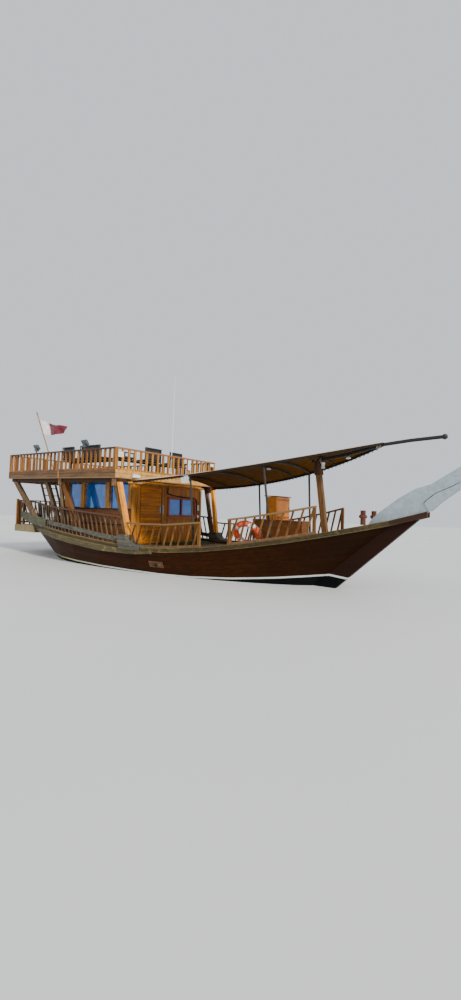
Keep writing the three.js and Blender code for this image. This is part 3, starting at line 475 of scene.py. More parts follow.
pillarLook = {
    "dark": "#54402c", "light": "#80684a", "seam": "#2c2016", "bare": "#7c7058", "along": "z", "across": "y",
    "board": 5.0, "gap": 0.001, "vary": 0.0, "worn": 0.35, "rough": 0.7, "patch": 5.0,
    "bright": "#ee8a1e", "brightLight": "#fbab3e", "brown": "#744416", "beam": "#3a2414", "beamFrom": 2.528,
}


def pillarPaint(name, look):
    place, at, _ = startMaterial(name)
    color, rough, height, dirt = timberParts(place, at["Y"], look)

    def lean(x, z, slope):    # distance fore and aft from a leaning centre line
        return plus(minus(at["X"], x), times(minus(at["Z"], z), slope))

    bright = fade(dirt, 0.35, 0.65, look["bright"], look["brightLight"])
    color = fade(lean(-0.964, 1.05, 0.244), -0.004, 0.004, color, bright)
    third = calc("ABSOLUTE", lean(-3.37, 0.95, 0.517))
    color = blendColor(ramp(third, 0.135, 0.12, 0.0, 0.85), color, look["brown"])
    color = fade(upperLevel(at), look["beamFrom"], look["beamFrom"] + 0.012, color, look["beam"])
    return endMaterial(color, rough, height, 0.5, shine=0.22)


# Wheelhouse

wallLook = {
    "dark": "#94530f", "light": "#cc8020", "seam": "#361c08", "bare": "#b07c40", "along": "z", "across": "y",
    "board": 0.115, "gap": 0.004, "vary": 0.1, "worn": 0.08, "rough": 0.45, "coat": 0.06,
    # the two colours used below the sill are painted shade from the side rails
    "belowSillShade": "#40220f", "belowSillShadeLight": "#5c351c", "sill": 1.80,
}
doorLook = dict(wallLook, along="y", across="z", board=0.086, light="#d68418", dark="#9a570c")
frameLook = dict(wallLook, board=5.0, along="x", dark="#963c1e", light="#bd5832", seam="#3a130b", worn=0.06)
trimLook = dict(wallLook, board=5.0, dark="#8c5a20", light="#bf883c")


def sideWallPaint(name, look):
    # boards run fore and aft, and are darker below the sill: a painted shade, the shadow of the side rails
    place, at, _ = startMaterial(name)
    color, rough, height, dirt = timberParts(place, at["Z"], dict(look, along="x", board=0.125))
    low = ramp(at["Z"], look["sill"], look["sill"] - 0.02)
    dark = fade(dirt, 0.35, 0.65, look["belowSillShade"], look["belowSillShadeLight"])
    color = blendColor(times(low, 0.8), color, dark)
    return endMaterial(color, rough, height, 0.5, shine=0.22, coat=look["coat"])


# Paint, glass, deck, cabinet and lifebuoy

def paintLook(name, base, second, rough, worn=0.2, metal=0.0, bare="#6b6862", coat=0.0, size=6.0,
              strength=0.15):
    place, _, _ = startMaterial(name)
    patches, dirt = weathered(place, worn, size)
    color = fade(dirt, 0.35, 0.68, base, second)
    color = blendColor(patches, color, bare)
    roughness = plus(rough, times(dirt, 0.2), clamp=True)
    return endMaterial(color, roughness, dirt, strength, 0.002, metal=metal, coat=coat)


def glassLook(name, skyReflection, reflectionStreaks):
    place, _, _ = startMaterial(name)
    streak = noise(place, 3.0, 4.0)
    # the blue colour is a painted reflection of the sky, lighter along the streaks
    color = fade(streak, 0.4, 0.7, skyReflection, reflectionStreaks)
    roughness = ramp(streak, 0.35, 0.75, 0.03, 0.11)
    return endMaterial(color, roughness, metal=0.35, shine=0.8, coat=0.6)


deckLook = {
    "dark": "#5b3a28", "light": "#8b6044", "seam": "#21150e", "bare": "#8f7a64", "along": "x",
    "board": 0.13, "gap": 0.006, "vary": 0.15, "worn": 0.4, "rough": 0.7,
}


def deckPaint(name, look):
    place, at, _ = startMaterial(name)
    color, rough, height, _ = timberParts(place, at["Y"], look)
    return endMaterial(color, rough, height, 0.5)


lockerLook = dict(
    trimLook, dark="#b0581a", light="#e28a30", board=0.2, along="z", across="x", worn=0.1, bare="#dc9c54",
    chest="#4c2e14", chestLight="#6b4520", side="#c06a10", sideLight="#dc8a22", chestTop=1.58)


def lockerPaint(name, look):
    # brown boards along the chest, bright orange boards on the cabinet above it, darker on its sides, where
    # the side colour is a painted shade
    place, at, facing = startMaterial(name)
    color, rough, height, dirt = timberParts(place, at["Z"], dict(look, along="x", board=0.15))
    chest = fade(dirt, 0.3, 0.7, look["chest"], look["chestLight"])
    sides = fade(dirt, 0.3, 0.7, look["side"], look["sideLight"])
    color = fade(calc("ABSOLUTE", facing["Y"]), 0.6, 0.8, color, sides)
    below = ramp(at["Z"], look["chestTop"] + 0.004, look["chestTop"] - 0.004)
    color = blendColor(times(below, 0.86), color, chest)
    return endMaterial(color, rough, height, 0.5, shine=0.22)


buoyLook = {"ring": "#e2502b", "band": "#ece8e2", "dirt": "#8d7a6a"}


def lifebuoyPaint(name, look):
    # four white bands round an orange ring: the angle about the ring's middle
    place, at, _ = startMaterial(name)
    low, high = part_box("lifebuoy")
    middle = (low + high) / 2
    lean = 1.2    # the ring leans back, so its height is stretched to a full circle
    angle = calc("ARCTAN2", times(minus(at["Z"], middle[2]), lean), minus(at["X"], middle[0]))
    turns = calc("FRACT", plus(calc("DIVIDE", angle, math.pi / 2), 0.5))
    _, dirt = weathered(place, 0.15, 8.0)
    color = fade(calc("ABSOLUTE", minus(turns, 0.5)), 0.36, 0.37, look["ring"], look["band"])
    color = blendColor(ramp(dirt, 0.5, 0.75, 0.0, 0.35), color, look["dirt"])
    return endMaterial(color, 0.5, dirt, 0.15, 0.002)


print("finishes written")


# What each CAD piece wears

mastLook = dict(pillarLook, dark="#4e341a", light="#7c5832", bare="#7a6444", worn=0.25)
bareWood = dict(weatheredLook, board=5.0)    # one plank's width, for ladders, slats and beams
handrailSide = [(x, 1.57 + 0.065 * (-1.0 - x) - 0.047) for x in (-8.7, -7.0, -5.0, -3.0, -1.35)]
handrailFore = [(x, z + 0.65 - 0.047) for x, z in sheerPoints if x > -1.3]

materials = {
    "hull": hullPaint("hullVarnish", hullLook, -0.85),
    "keel_and_posts": hullPaint("stemVarnish", stemLook, -1.1),
    "rudder": hullPaint("rudderVarnish", stemLook, -1.1),
    "stem_head": paintLook("stemHeadPaint", "#97a4ad", "#a9b6be", 0.5, 0.12, bare="#8e9598", coat=0.1,
                           size=2.0),
    "main_deck": deckPaint("deckPlanks", deckLook),
    "engine": paintLook("enginePaint", "#355442", "#2a4033", 0.4, metal=0.3),
    "propeller": paintLook("bronze", "#a3762f", "#6f5a2c", 0.3, 0.25, metal=0.9, bare="#3f6b5a"),
    "upper_deck": upperDeckPaint("upperBoards", upperLook),
    "upper_rail_front": upperRailPaint("sunnyRail", sunnyRailLook),
    "upper_rail_aft": upperRailPaint("aftRail", aftRailLook),
    "upper_rail_stbd": upperRailPaint("goldenRail", railLook),
    "gallery_platform": timber("galleryPlanks", dict(capLook, dark="#8a7550", light="#a9966c", bare="#8d8368",
                                                      along="y", across="x", board=0.18)),
    "gallery_rail": timber("galleryRail", dict(railLook, dark="#7a4319", light="#a9642a")),
    "stern_ladder": timber("ladderWood", bareWood),
    "flagstaff": timber("staffWood", dict(trimLook, dark="#7e5a32", light="#b98a52")),
    "cabin_front": timber("frontBoards", wallLook),
    "cabin_aft": timber("aftBoards", wallLook),
    "cabin_door": timber("doorBoards", doorLook),
    "visor": timber("visorWood", dict(trimLook, along="y")),
    "helm_wheel": timber("wheelWood", dict(trimLook, dark="#5e3315", light="#96582a")),
    "front_glass": glassLook("windowGlass", "#0a60b4", "#3478c0"),
    "spar": paintLook("sparPaint", "#0a0d0f", "#14181a", 0.45, 0.18, bare="#4b4d4c"),
    "mast": timber("mastWood", mastLook),
    "locker": lockerPaint("lockerWood", lockerLook),
    "locker_door": timber("lockerDoorWood", dict(lockerLook, across="y", board=0.12, dark="#f58824",
                                                 light="#ffa648")),
    "lifebuoy": lifebuoyPaint("buoyPlastic", buoyLook),
    "antenna": paintLook("whipWhite", "#e9ebe9", "#dcdfde", 0.35, 0.05),
    "floodlight_aft": paintLook("lampGrey", "#4a5154", "#646c6f", 0.55, 0.12, metal=0.3),
}
tubeMaterial = paintLook("blackTube", "#100f0e", "#1c1a18", 0.75, 0.15, bare="#3c3d3d")
steelMaterial = paintLook("darkSteel", "#2a2824", "#3b3832", 0.6, 0.12, metal=0.3, bare="#5a4030")
waistRailMaterial = sideRailPaint("waistRail", waistLook, handrailFore, 0.058)
bothSides = {
    "cap_board": capPaint("capPaint", capLook),
    "lower_wale": walePaint("walePaint", waleLook),
    "side_rail": sideRailPaint("weatheredRail", weatheredLook, handrailSide, 0.254),
    "waist_rail": waistRailMaterial,
    "fore_rail": waistRailMaterial,
    "quarter_knee": timber("kneeWood", dict(bareWood, dark="#4e4c43", light="#6e6a5c", bare="#7d786a",
                                            along="x")),
    "pillars": pillarPaint("pillarWood", pillarLook),
    "cabin_side": sideWallPaint("sideBoards", wallLook),
    "side_glass": materials["front_glass"],
    "bitt": timber("bittWood", dict(trimLook, dark="#4a2418", light="#6c3e2c", bare="#8d6a58", worn=0.3)),
    "awning_edge": tubeMaterial,
}
for stem, material in bothSides.items():
    materials[stem + "_stbd"] = materials[stem + "_port"] = material
for place in ("aft", "fore"):
    materials["awning_hoop_" + place] = steelMaterial
    materials["awning_bow_" + place] = tubeMaterial
materials["upper_rail_port"] = materials["upper_rail_stbd"]
materials["floodlight_fore"] = materials["floodlight_aft"]

for name in nodes:
    if name in materials:
        surface = nodes[name].data.materials
        surface.clear()
        surface.append(materials[name])
print("frame dressed")


# Mesh helpers: every new piece is a grid, a set of boards or a profile carried along a path

def addMesh(name, vertices, faces, material, body="boat", uv=None, smooth=True):
    mesh = bpy.data.meshes.new(name)
    points = np.asarray(vertices, float).reshape(-1, 3).tolist()
    mesh.from_pydata(points, [], [list(map(int, face)) for face in faces])
    mesh.materials.append(material)
    corners = np.zeros(len(mesh.polygons), int)
    mesh.polygons.foreach_get("loop_total", corners)
    mesh.polygons.foreach_set("use_smooth", (corners <= 4) & smooth)    # end caps stay flat
    if uv is not None:
        corners = np.zeros(len(mesh.loops), int)
        mesh.loops.foreach_get("vertex_index", corners)
        layer = mesh.uv_layers.new(name="flat")
        layer.data.foreach_set("uv", np.asarray(uv, float).reshape(-1, 2)[corners].ravel())
    mesh.update()
    piece = bpy.data.objects.new(name, mesh)
    bpy.context.scene.collection.objects.link(piece)
    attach(piece, body)
    return piece


def gridFaces(rows, columns, wrapRows=False, wrapColumns=False):
    # a quad for each cell, its corners numbered row by row
    r = np.arange(rows if wrapRows else rows - 1)[:, None]
    c = np.arange(columns if wrapColumns else columns - 1)[None, :]
    r2, c2 = (r + 1) % rows, (c + 1) % columns
    corners = [r * columns + c, r * columns + c2, r2 * columns + c2, r2 * columns + c]
    return np.stack(corners, -1).reshape(-1, 4)


def gridPoints(x, y, z):    # three arrays of any fitting shapes as one array of points
    return np.stack(np.broadcast_arrays(x, y, z), -1)


def softEdges(piece, width, segments=2):
    bevel = piece.modifiers.new("softEdges", "BEVEL")
    bevel.width = width
    bevel.segments = segments
    bevel.limit_method = "ANGLE"
    return piece


def thicken(piece, thickness):    # half of it to each side
    solid = piece.modifiers.new("thickness", "SOLIDIFY")
    solid.thickness = thickness
    solid.offset = 0
    return piece


def faceOutward(piece, mergeWithin=0.0):
    data = bmesh.new()
    data.from_mesh(piece.data)
    if mergeWithin:
        bmesh.ops.remove_doubles(data, verts=data.verts, dist=mergeWithin)
    bmesh.ops.recalc_face_normals(data, faces=data.faces)
    data.to_mesh(piece.data)
    data.free()
    return piece


boxCorners = np.array([(-1, -1, -1), (1, -1, -1), (1, 1, -1), (-1, 1, -1),
                       (-1, -1, 1), (1, -1, 1), (1, 1, 1), (-1, 1, 1)])
boxFaces = np.array([(0, 3, 2, 1), (4, 5, 6, 7), (0, 1, 5, 4), (1, 2, 6, 5), (2, 3, 7, 6), (3, 0, 4, 7)])


def boards(name, table, material, body="boat", bevel=0.004):
    # columns of the table: middle x y z, size x y z, and where given, a turn in degrees about X, Y and Z
    table = np.array([list(row) + [0.0] * (9 - len(row)) for row in table], float)
    angles = np.radians(table[:, 6:9])
    cx, cy, cz = np.cos(angles).T
    sx, sy, sz = np.sin(angles).T
    turns = np.stack([cz * cy, cz * sy * sx - sz * cx, cz * sy * cx + sz * sx,
                      sz * cy, sz * sy * sx + cz * cx, sz * sy * cx - cz * sx,
                      -sy, cy * sx, cy * cx], -1).reshape(-1, 3, 3)
    corners = boxCorners[None] * table[:, None, 3:6] / 2
    points = np.einsum("nij,nkj->nki", turns, corners) + table[:, None, :3]
    faces = boxFaces[None] + 8 * np.arange(len(table))[:, None, None]
    piece = addMesh(name, points, faces.reshape(-1, 4), material, body, smooth=False)
    return softEdges(piece, bevel)


def onUpperDeck(x, y, z):
    # a place in the upper deck's own frame, turned up by its rise: z is measured from its underside
    c, s = math.cos(upper["rise"]), math.sin(upper["rise"])
    return upper["x"] + x * c + z * s, y, upper["z"] - x * s + z * c


def underUpper(x):    # underside of the upper deck along the boat
    return upper["z"] + upperSlope * (upper["x"] - x)


def upperBoards(name, table, material, bevel=0.004):
    lean = math.degrees(upper["rise"])
    rows = [(*onUpperDeck(*row[:3]), *row[3:6], 0.0, lean, 0.0) for row in table]
    return boards(name, rows, material, bevel=bevel)


def ring(middle, first, second, count):
    # points round a middle: the angle's cosine along the first arm and its sine along the second
    angle = np.linspace(0, 2 * np.pi, count, endpoint=False)[:, None]
    return middle + np.cos(angle) * np.asarray(first) + np.sin(angle) * np.asarray(second)


def rounded(path, times=3):
    # each corner is cut a quarter of the way along both of its sides, again and again
    path = np.asarray(path, float)
    for _ in range(times):
        near, far = path[:-1] * 0.75 + path[1:] * 0.25, path[:-1] * 0.25 + path[1:] * 0.75
        path = np.concatenate([path[:1], np.stack([near, far], 1).reshape(-1, 3), path[-1:]])
    return path


def sweep(path, radius, sides=10, closed=False):
    # circles of the given radius, square to the path, turned as little as possible from one to the next
    path = np.asarray(path, float)
    if closed:
        along = np.roll(path, -1, 0) - np.roll(path, 1, 0)
    else:
        along = np.gradient(path, axis=0)
    along /= np.linalg.norm(along, axis=1, keepdims=True)
    side = np.cross(along, (0.0, 0.0, 1.0))
    flat = np.linalg.norm(side, axis=1) < 0.2
    side[flat] = np.cross(along[flat], (0.0, 1.0, 0.0))
    turnedOver = (side[1:] * side[:-1]).sum(1) < 0
    side[1:] *= np.cumprod(np.where(turnedOver, -1, 1))[:, None]
    side /= np.linalg.norm(side, axis=1, keepdims=True)
    other = np.cross(along, side)
    angle = np.linspace(0, 2 * np.pi, sides, endpoint=False)[None, :, None]
    return path[:, None] + (np.cos(angle) * side[:, None] + np.sin(angle) * other[:, None]) * radius


def tubes(name, paths, radius, material, body="boat", sides=10, closed=False):
    points, faces, start = [], [], 0
    for path in paths:
        grid = sweep(path, radius, sides, closed)
        points.append(grid.reshape(-1, 3))
        faces += list(gridFaces(len(grid), sides, wrapRows=closed, wrapColumns=True) + start)
        if not closed:
            cap = start + np.arange(sides)
            faces += [cap, (cap + (len(grid) - 1) * sides)[::-1]]
        start += len(grid) * sides
    return faceOutward(addMesh(name, np.concatenate(points), faces, material, body))


def lathe(name, spots, profile, material, axis=(0, 0, 1)):
    # a profile of radius and height turned round an axis at each spot
    sides = 20
    turn = np.array(Vector((0, 0, 1)).rotation_difference(Vector(axis).normalized()).to_matrix())
    angle = np.linspace(0, 2 * np.pi, sides, endpoint=False)
    radius, height = np.asarray(profile, float).T[:, :, None]
    shape = gridPoints(radius * np.cos(angle), radius * np.sin(angle), height) @ turn.T
    points, faces = [], []
    for i, spot in enumerate(spots):
        start = i * len(profile) * sides
        cap = start + np.arange(sides)
        points.append((shape + np.asarray(spot, float)).reshape(-1, 3))
        faces += list(gridFaces(len(profile), sides, wrapColumns=True) + start)
        faces += [cap[::-1], cap + (len(profile) - 1) * sides]
    piece = addMesh(name, np.concatenate(points), faces, material)
    return softEdges(faceOutward(piece), 0.002, 1)


def plates(name, outlines, material):
    # each outline: points (x, z) of a flat plate, and the two y values of its faces
    points, faces, start = [], [], 0
    for outline, y0, y1 in outlines:
        count = len(outline)
        points += [(x, y, z) for y in (y0, y1) for x, z in outline]
        near = start + np.arange(count)
        after = np.roll(near, -1)
        faces += [near, (near + count)[::-1]]
        faces += list(np.stack([near, after, after + count, near + count], -1))
        start += 2 * count
    piece = addMesh(name, points, faces, material, smooth=False)
    return softEdges(faceOutward(piece), 0.003)


print("helpers ready")


# The awning's surface, shared by the cloth, its lacing and its bow

awningShape = {
    "aft": -0.95, "fore": 5.7, "start": -1.0, "reach": 6.8, "half": 1.8, "power": 2.4,
    "edgeHigh": 2.61, "slope": 0.02, "bend": 0.0156, "crown": 0.13, "bows": (-0.2, 1.17, 2.57, 3.18, 4.12),
    "sag": 0.022, "thick": 0.004, "seamEvery": 0.95, "laceEvery": 0.135, "tubeBelow": 0.030,
    "topColor": "#e6c39c", "topDark": "#b9946f", "topBare": "#8e775f",
    "underColor": "#5a3507", "underLight": "#714e10",
}


def awningAt(x, across):
    # half-width shrinks forward with a power curve; the height climbs forward as a parabola
    # and crowns across as 1 - across^2
    shape = awningShape
    ahead = x - shape["start"]
    half = shape["half"] * (1 - np.clip(ahead / shape["reach"], 0, 1) ** shape["power"]) + 0.02
    high = shape["edgeHigh"] + shape["slope"] * ahead + shape["bend"] * ahead ** 2
    return gridPoints(x, half * across, high + shape["crown"] * half * (1 - across ** 2))


def clothPaint(name, shape):
    place, _, facing = startMaterial(name)
    uv = put("UVMap", uv_map="flat").outputs[0]
    along = put("SeparateXYZ", {0: uv}).outputs["X"]
    weave = useGroup(weaveGroup, {"Flat": uv, "Threads": 900.0})["Height"]
    patches, dirt = weathered(place, 0.3, 1.4)
    top = fade(dirt, 0.35, 0.7, shape["topColor"], shape["topDark"])
    top = blendColor(times(patches, 0.5), top, shape["topBare"])
    under = fade(dirt, 0.4, 0.68, shape["underColor"], shape["underLight"])
    color = fade(facing["Z"], -0.05, 0.05, under, top)
    seam = useGroup(boardGroup, {"Across": along, "Width": shape["seamEvery"], "Gap": 0.02})["Seam"]
    stitched = blendColor(1.0, color, (0.55, 0.5, 0.46, 1.0), "MULTIPLY")
    color = blendColor(seam, color, stitched)
    height = plus(plus(times(weave, 0.12), times(seam, 1.5)), times(dirt, 0.8))
    return endMaterial(color, ramp(dirt, 0.3, 0.7, 0.72, 0.92), height, 0.35, 0.006, shine=0.03)


def buildAwning():
    # the shared surface, sagging between its bows as sine squared, with small wrinkles along it
    shape = awningShape
    rows, columns = 220, 64
    x = np.linspace(shape["aft"], shape["fore"], rows)[:, None]
    across = np.linspace(-1, 1, columns)[None, :]
    grid = awningAt(x, across)
    bows = np.array([shape["aft"], *shape["bows"], shape["fore"]])
    bay = np.clip(np.searchsorted(bows, x, side="right") - 1, 0, len(bows) - 2)
    share = (x - bows[bay]) / (bows[bay + 1] - bows[bay])
    wide = np.minimum((bows[bay + 1] - bows[bay]) / 1.4, 1.0)
    sag = shape["sag"] * wide * np.sin(np.pi * share) ** 2 * np.cos(across * np.pi / 2) ** 0.6
    wrinkle = 0.0035 * np.sin(x * 9 + 4 * across) * np.sin(np.pi * share) * (1 - np.abs(across)) ** 0.5
    grid[..., 2] += 0.006 - sag + wrinkle

    # laid flat: lengths summed along the cloth, widths summed across it from its middle
    steps = np.linalg.norm(np.diff(grid, axis=0), axis=2).mean(1)
    lengthways = np.concatenate([[0], np.cumsum(steps)])
    widths = np.linalg.norm(np.diff(grid, axis=1), axis=2)
    crossways = np.concatenate([np.zeros((rows, 1)), np.cumsum(widths, 1)], 1)
    crossways -= crossways[:, -1:] / 2
    uv = np.stack(np.broadcast_arrays(lengthways[:, None], crossways), -1)
    widths = widths.sum(1)
    canvas = clothPaint("awningCanvas", shape)
    cloth = addMesh("awningCloth", grid, gridFaces(rows, columns)[:, ::-1], canvas, uv=uv)
    thicken(cloth, shape["thick"])
    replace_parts(cloth, "awning")

    # lacing: rings round the edge tubes and a rolled hem over each tube
    rings, hems = [], []
    stations = np.arange(shape["aft"] + 0.08, shape["fore"] - 0.12, shape["laceEvery"])
    hemX = np.linspace(shape["aft"], shape["fore"], 90)
    for side in (-1.0, 1.0):
        for spot in awningAt(stations, side) - (0, 0, shape["tubeBelow"]):
            rings.append(ring(spot, (0, 0.032, 0), (0.012, 0, 0.034), 12))
        hems.append(awningAt(hemX, side) + (0, 0, 0.006))
    lace = tubes("awningLacing", rings, 0.0055, tubeMaterial, sides=5, closed=True)
    hem = tubes("awningHem", hems, 0.011, canvas, sides=8)
    bow = awningAt(shape["bows"][2], np.linspace(-0.985, 0.985, 25)) - (0, 0, shape["tubeBelow"])
    tubes("awningBowMiddle", [bow], 0.020, tubeMaterial)


# Flag

flagShape = {
    "staffFoot": (-7.25, -0.63, 3.079), "staffTop": (-8.91, -0.63, 5.8), "away": (0.93, 0.37),
    "hoistTop": 0.895, "hoistLow": 0.65, "flyTop": 0.765, "flyLow": 0.690, "longTop": 1.20, "longLow": 1.10,
    "wave": 0.10, "tiesAt": (0.88, 0.77, 0.665), "teeth": 9.0, "border": 0.30, "toothDeep": 0.13,
    "white": "#efeceb", "whiteDirt": "#bdb6ac", "maroon": "#5c0a20", "maroonLight": "#7a1030",
}


def flagPaint(name, shape):
    place, _, _ = startMaterial(name)
    uv = put("UVMap", uv_map="flat").outputs[0]
    spot = put("SeparateXYZ", {0: uv}).outputs
    teeth = calc("PINGPONG", times(spot["Y"], shape["teeth"]), 0.5)
    border = plus(shape["border"], times(teeth, shape["toothDeep"]))
    _, dirt = weathered(place, 0.2, 4.0)
    white = fade(dirt, 0.4, 0.75, shape["white"], shape["whiteDirt"])
    maroon = fade(dirt, 0.4, 0.7, shape["maroon"], shape["maroonLight"])
    color = fade(minus(spot["X"], border), -0.004, 0.004, white, maroon)
    weave = useGroup(weaveGroup, {"Flat": uv, "Threads": 1400.0})["Height"]
    return endMaterial(color, ramp(dirt, 0.3, 0.7, 0.7, 0.85), weave, 0.2, 0.002, sheen=0.2)


def buildFlag():
    # corners blended over u and v, pushed across the wind by two waves that grow towards the fly,
    # and hanging lower between hoist and fly
    shape = flagShape
    foot, top = np.array(shape["staffFoot"]), np.array(shape["staffTop"])
    away = np.array([*shape["away"], 0.0])
    cross = np.array([-away[1], away[0], 0.0])
    u = np.linspace(0, 1, 72)[:, None, None]
    v = np.linspace(0, 1, 44)[None, :, None]
    high = foot + (top - foot) * (shape["hoistTop"] * (1 - u) + shape["flyTop"] * u)
    low = foot + (top - foot) * (shape["hoistLow"] * (1 - u) + shape["flyLow"] * u)
    reach = 0.034 + u * (shape["longLow"] * (1 - v) + shape["longTop"] * v)
    swell = np.sin(u * 9.5 - v * 2.4) * 0.7 + np.sin(u * 17 + v * 3.6) * 0.3
    grid = low + (high - low) * v + away * reach + cross * shape["wave"] * u ** 0.75 * swell
    grid[..., 2] -= (np.sin(np.pi * u) * (0.11 - 0.05 * v) + 0.02 * u * np.sin(u * 9 + v * 3))[..., 0]
    uv = np.stack(np.broadcast_arrays(u[..., 0], v[..., 0]), -1)
    paint = flagPaint("flagCloth", shape)
    cloth = thicken(addMesh("flagCloth", grid, gridFaces(*grid.shape[:2]), paint, uv=uv), 0.002)
    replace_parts(cloth, "flag")

    # ties: rings round the staff
    axis = (top - foot) / np.linalg.norm(top - foot)
    first, second = np.array((0, 0.030, 0)), 0.030 * np.cross(axis, (0, 1, 0))
    loops = [ring(foot + (top - foot) * share, first, second, 12) for share in shape["tiesAt"]]
    ties = tubes("flagTies", loops, 0.006, paint, sides=6, closed=True)
    truck = [(0.030, 0.002), (0.036, 0.02), (0.026, 0.038)]
    lathe("staffTruck", [top - axis * 0.004], truck, materials["flagstaff"], axis)


buildAwning()
buildFlag()
print("awning and flag sewn")


# Seats on the upper deck: steel frames with black padded seats and backs

seatLook = {
    "pad": "#17181b", "padLight": "#2b2d31", "padWorn": "#55575a",
    "frame": "#303336", "frameLight": "#3d4144", "frameBare": "#6d5a48",
    "pull": 0.025, "channelDeep": 0.55, "channelHalf": 0.016, "fill": 0.75,
    "deckTop": 0.25, "legHigh": 0.40,    # from the upper deck's underside, and from its top
}


def padPaint(name, look):
    place, _, _ = startMaterial(name)
    patches, dirt = weathered(place, 0.25, 7.0)
    color = fade(dirt, 0.35, 0.7, look["pad"], look["padLight"])
    color = blendColor(times(patches, 0.4), color, look["padWorn"])
    grain = put("TexVoronoi", {"Vector": place, "Scale": 260.0}).outputs["Distance"]
    height = plus(times(grain, 0.25), noise(place, 14.0, 6.0))
    return endMaterial(color, ramp(dirt, 0.3, 0.7, 0.5, 0.72), height, 0.35, 0.003)


def cushion(name, middle, size, channels, acrossDeck, upright, material):
    # a crowned pad: height falls as (1-u^4)(1-v^4) to a seam all round, sides pull in between the corners,
    # and sewn channels press it in; upright pads stand with their crown facing the seat
    long, deep, thick = size
    n, m = 90, 40
    u = np.linspace(-1, 1, n)[:, None]
    v = np.linspace(-1, 1, m)[None, :]
    bulge = np.sqrt(np.clip((1 - u ** 4) * (1 - v ** 4), 0, 1))
    spots = np.linspace(-1, 1, channels + 2)[1:-1]
    pressed = np.exp(-((u - spots) * long / 2 / seatLook["channelHalf"]) ** 2)
    groove = 1 - seatLook["channelDeep"] * pressed.sum(1, keepdims=True)
    x = u * long / 2 * (1 - seatLook["pull"] * (1 - v ** 2) * np.abs(u) ** 3)
    y = v * deep / 2 * (1 - 2 * seatLook["pull"] * (1 - u ** 2) * np.abs(v) ** 3)
    crown = gridPoints(x, y, thick / 2 * bulge * (0.8 + 0.2 * (1 - u ** 2)) * groove)
    back = gridPoints(x, y, -np.minimum(thick / 2 * bulge, thick * 0.34))
    points = np.concatenate([crown.reshape(-1, 3), back.reshape(-1, 3)])
    faces = np.concatenate([gridFaces(n, m)[:, ::-1], gridFaces(n, m) + n * m])
    edge = np.concatenate([crown[:-1, 0], crown[-1, :-1], crown[:0:-1, -1], crown[0, :0:-1]])

    def placed(p):
        x, y, z = p.T
        if upright:
            y, z = -z, y
        if acrossDeck:
            x, y = y, -x
        return np.stack(onUpperDeck(x + middle[0], y + middle[1], z + middle[2]), -1)

    pad = faceOutward(addMesh(name, placed(points), faces, material), mergeWithin=0.0004)
    return placed(edge)


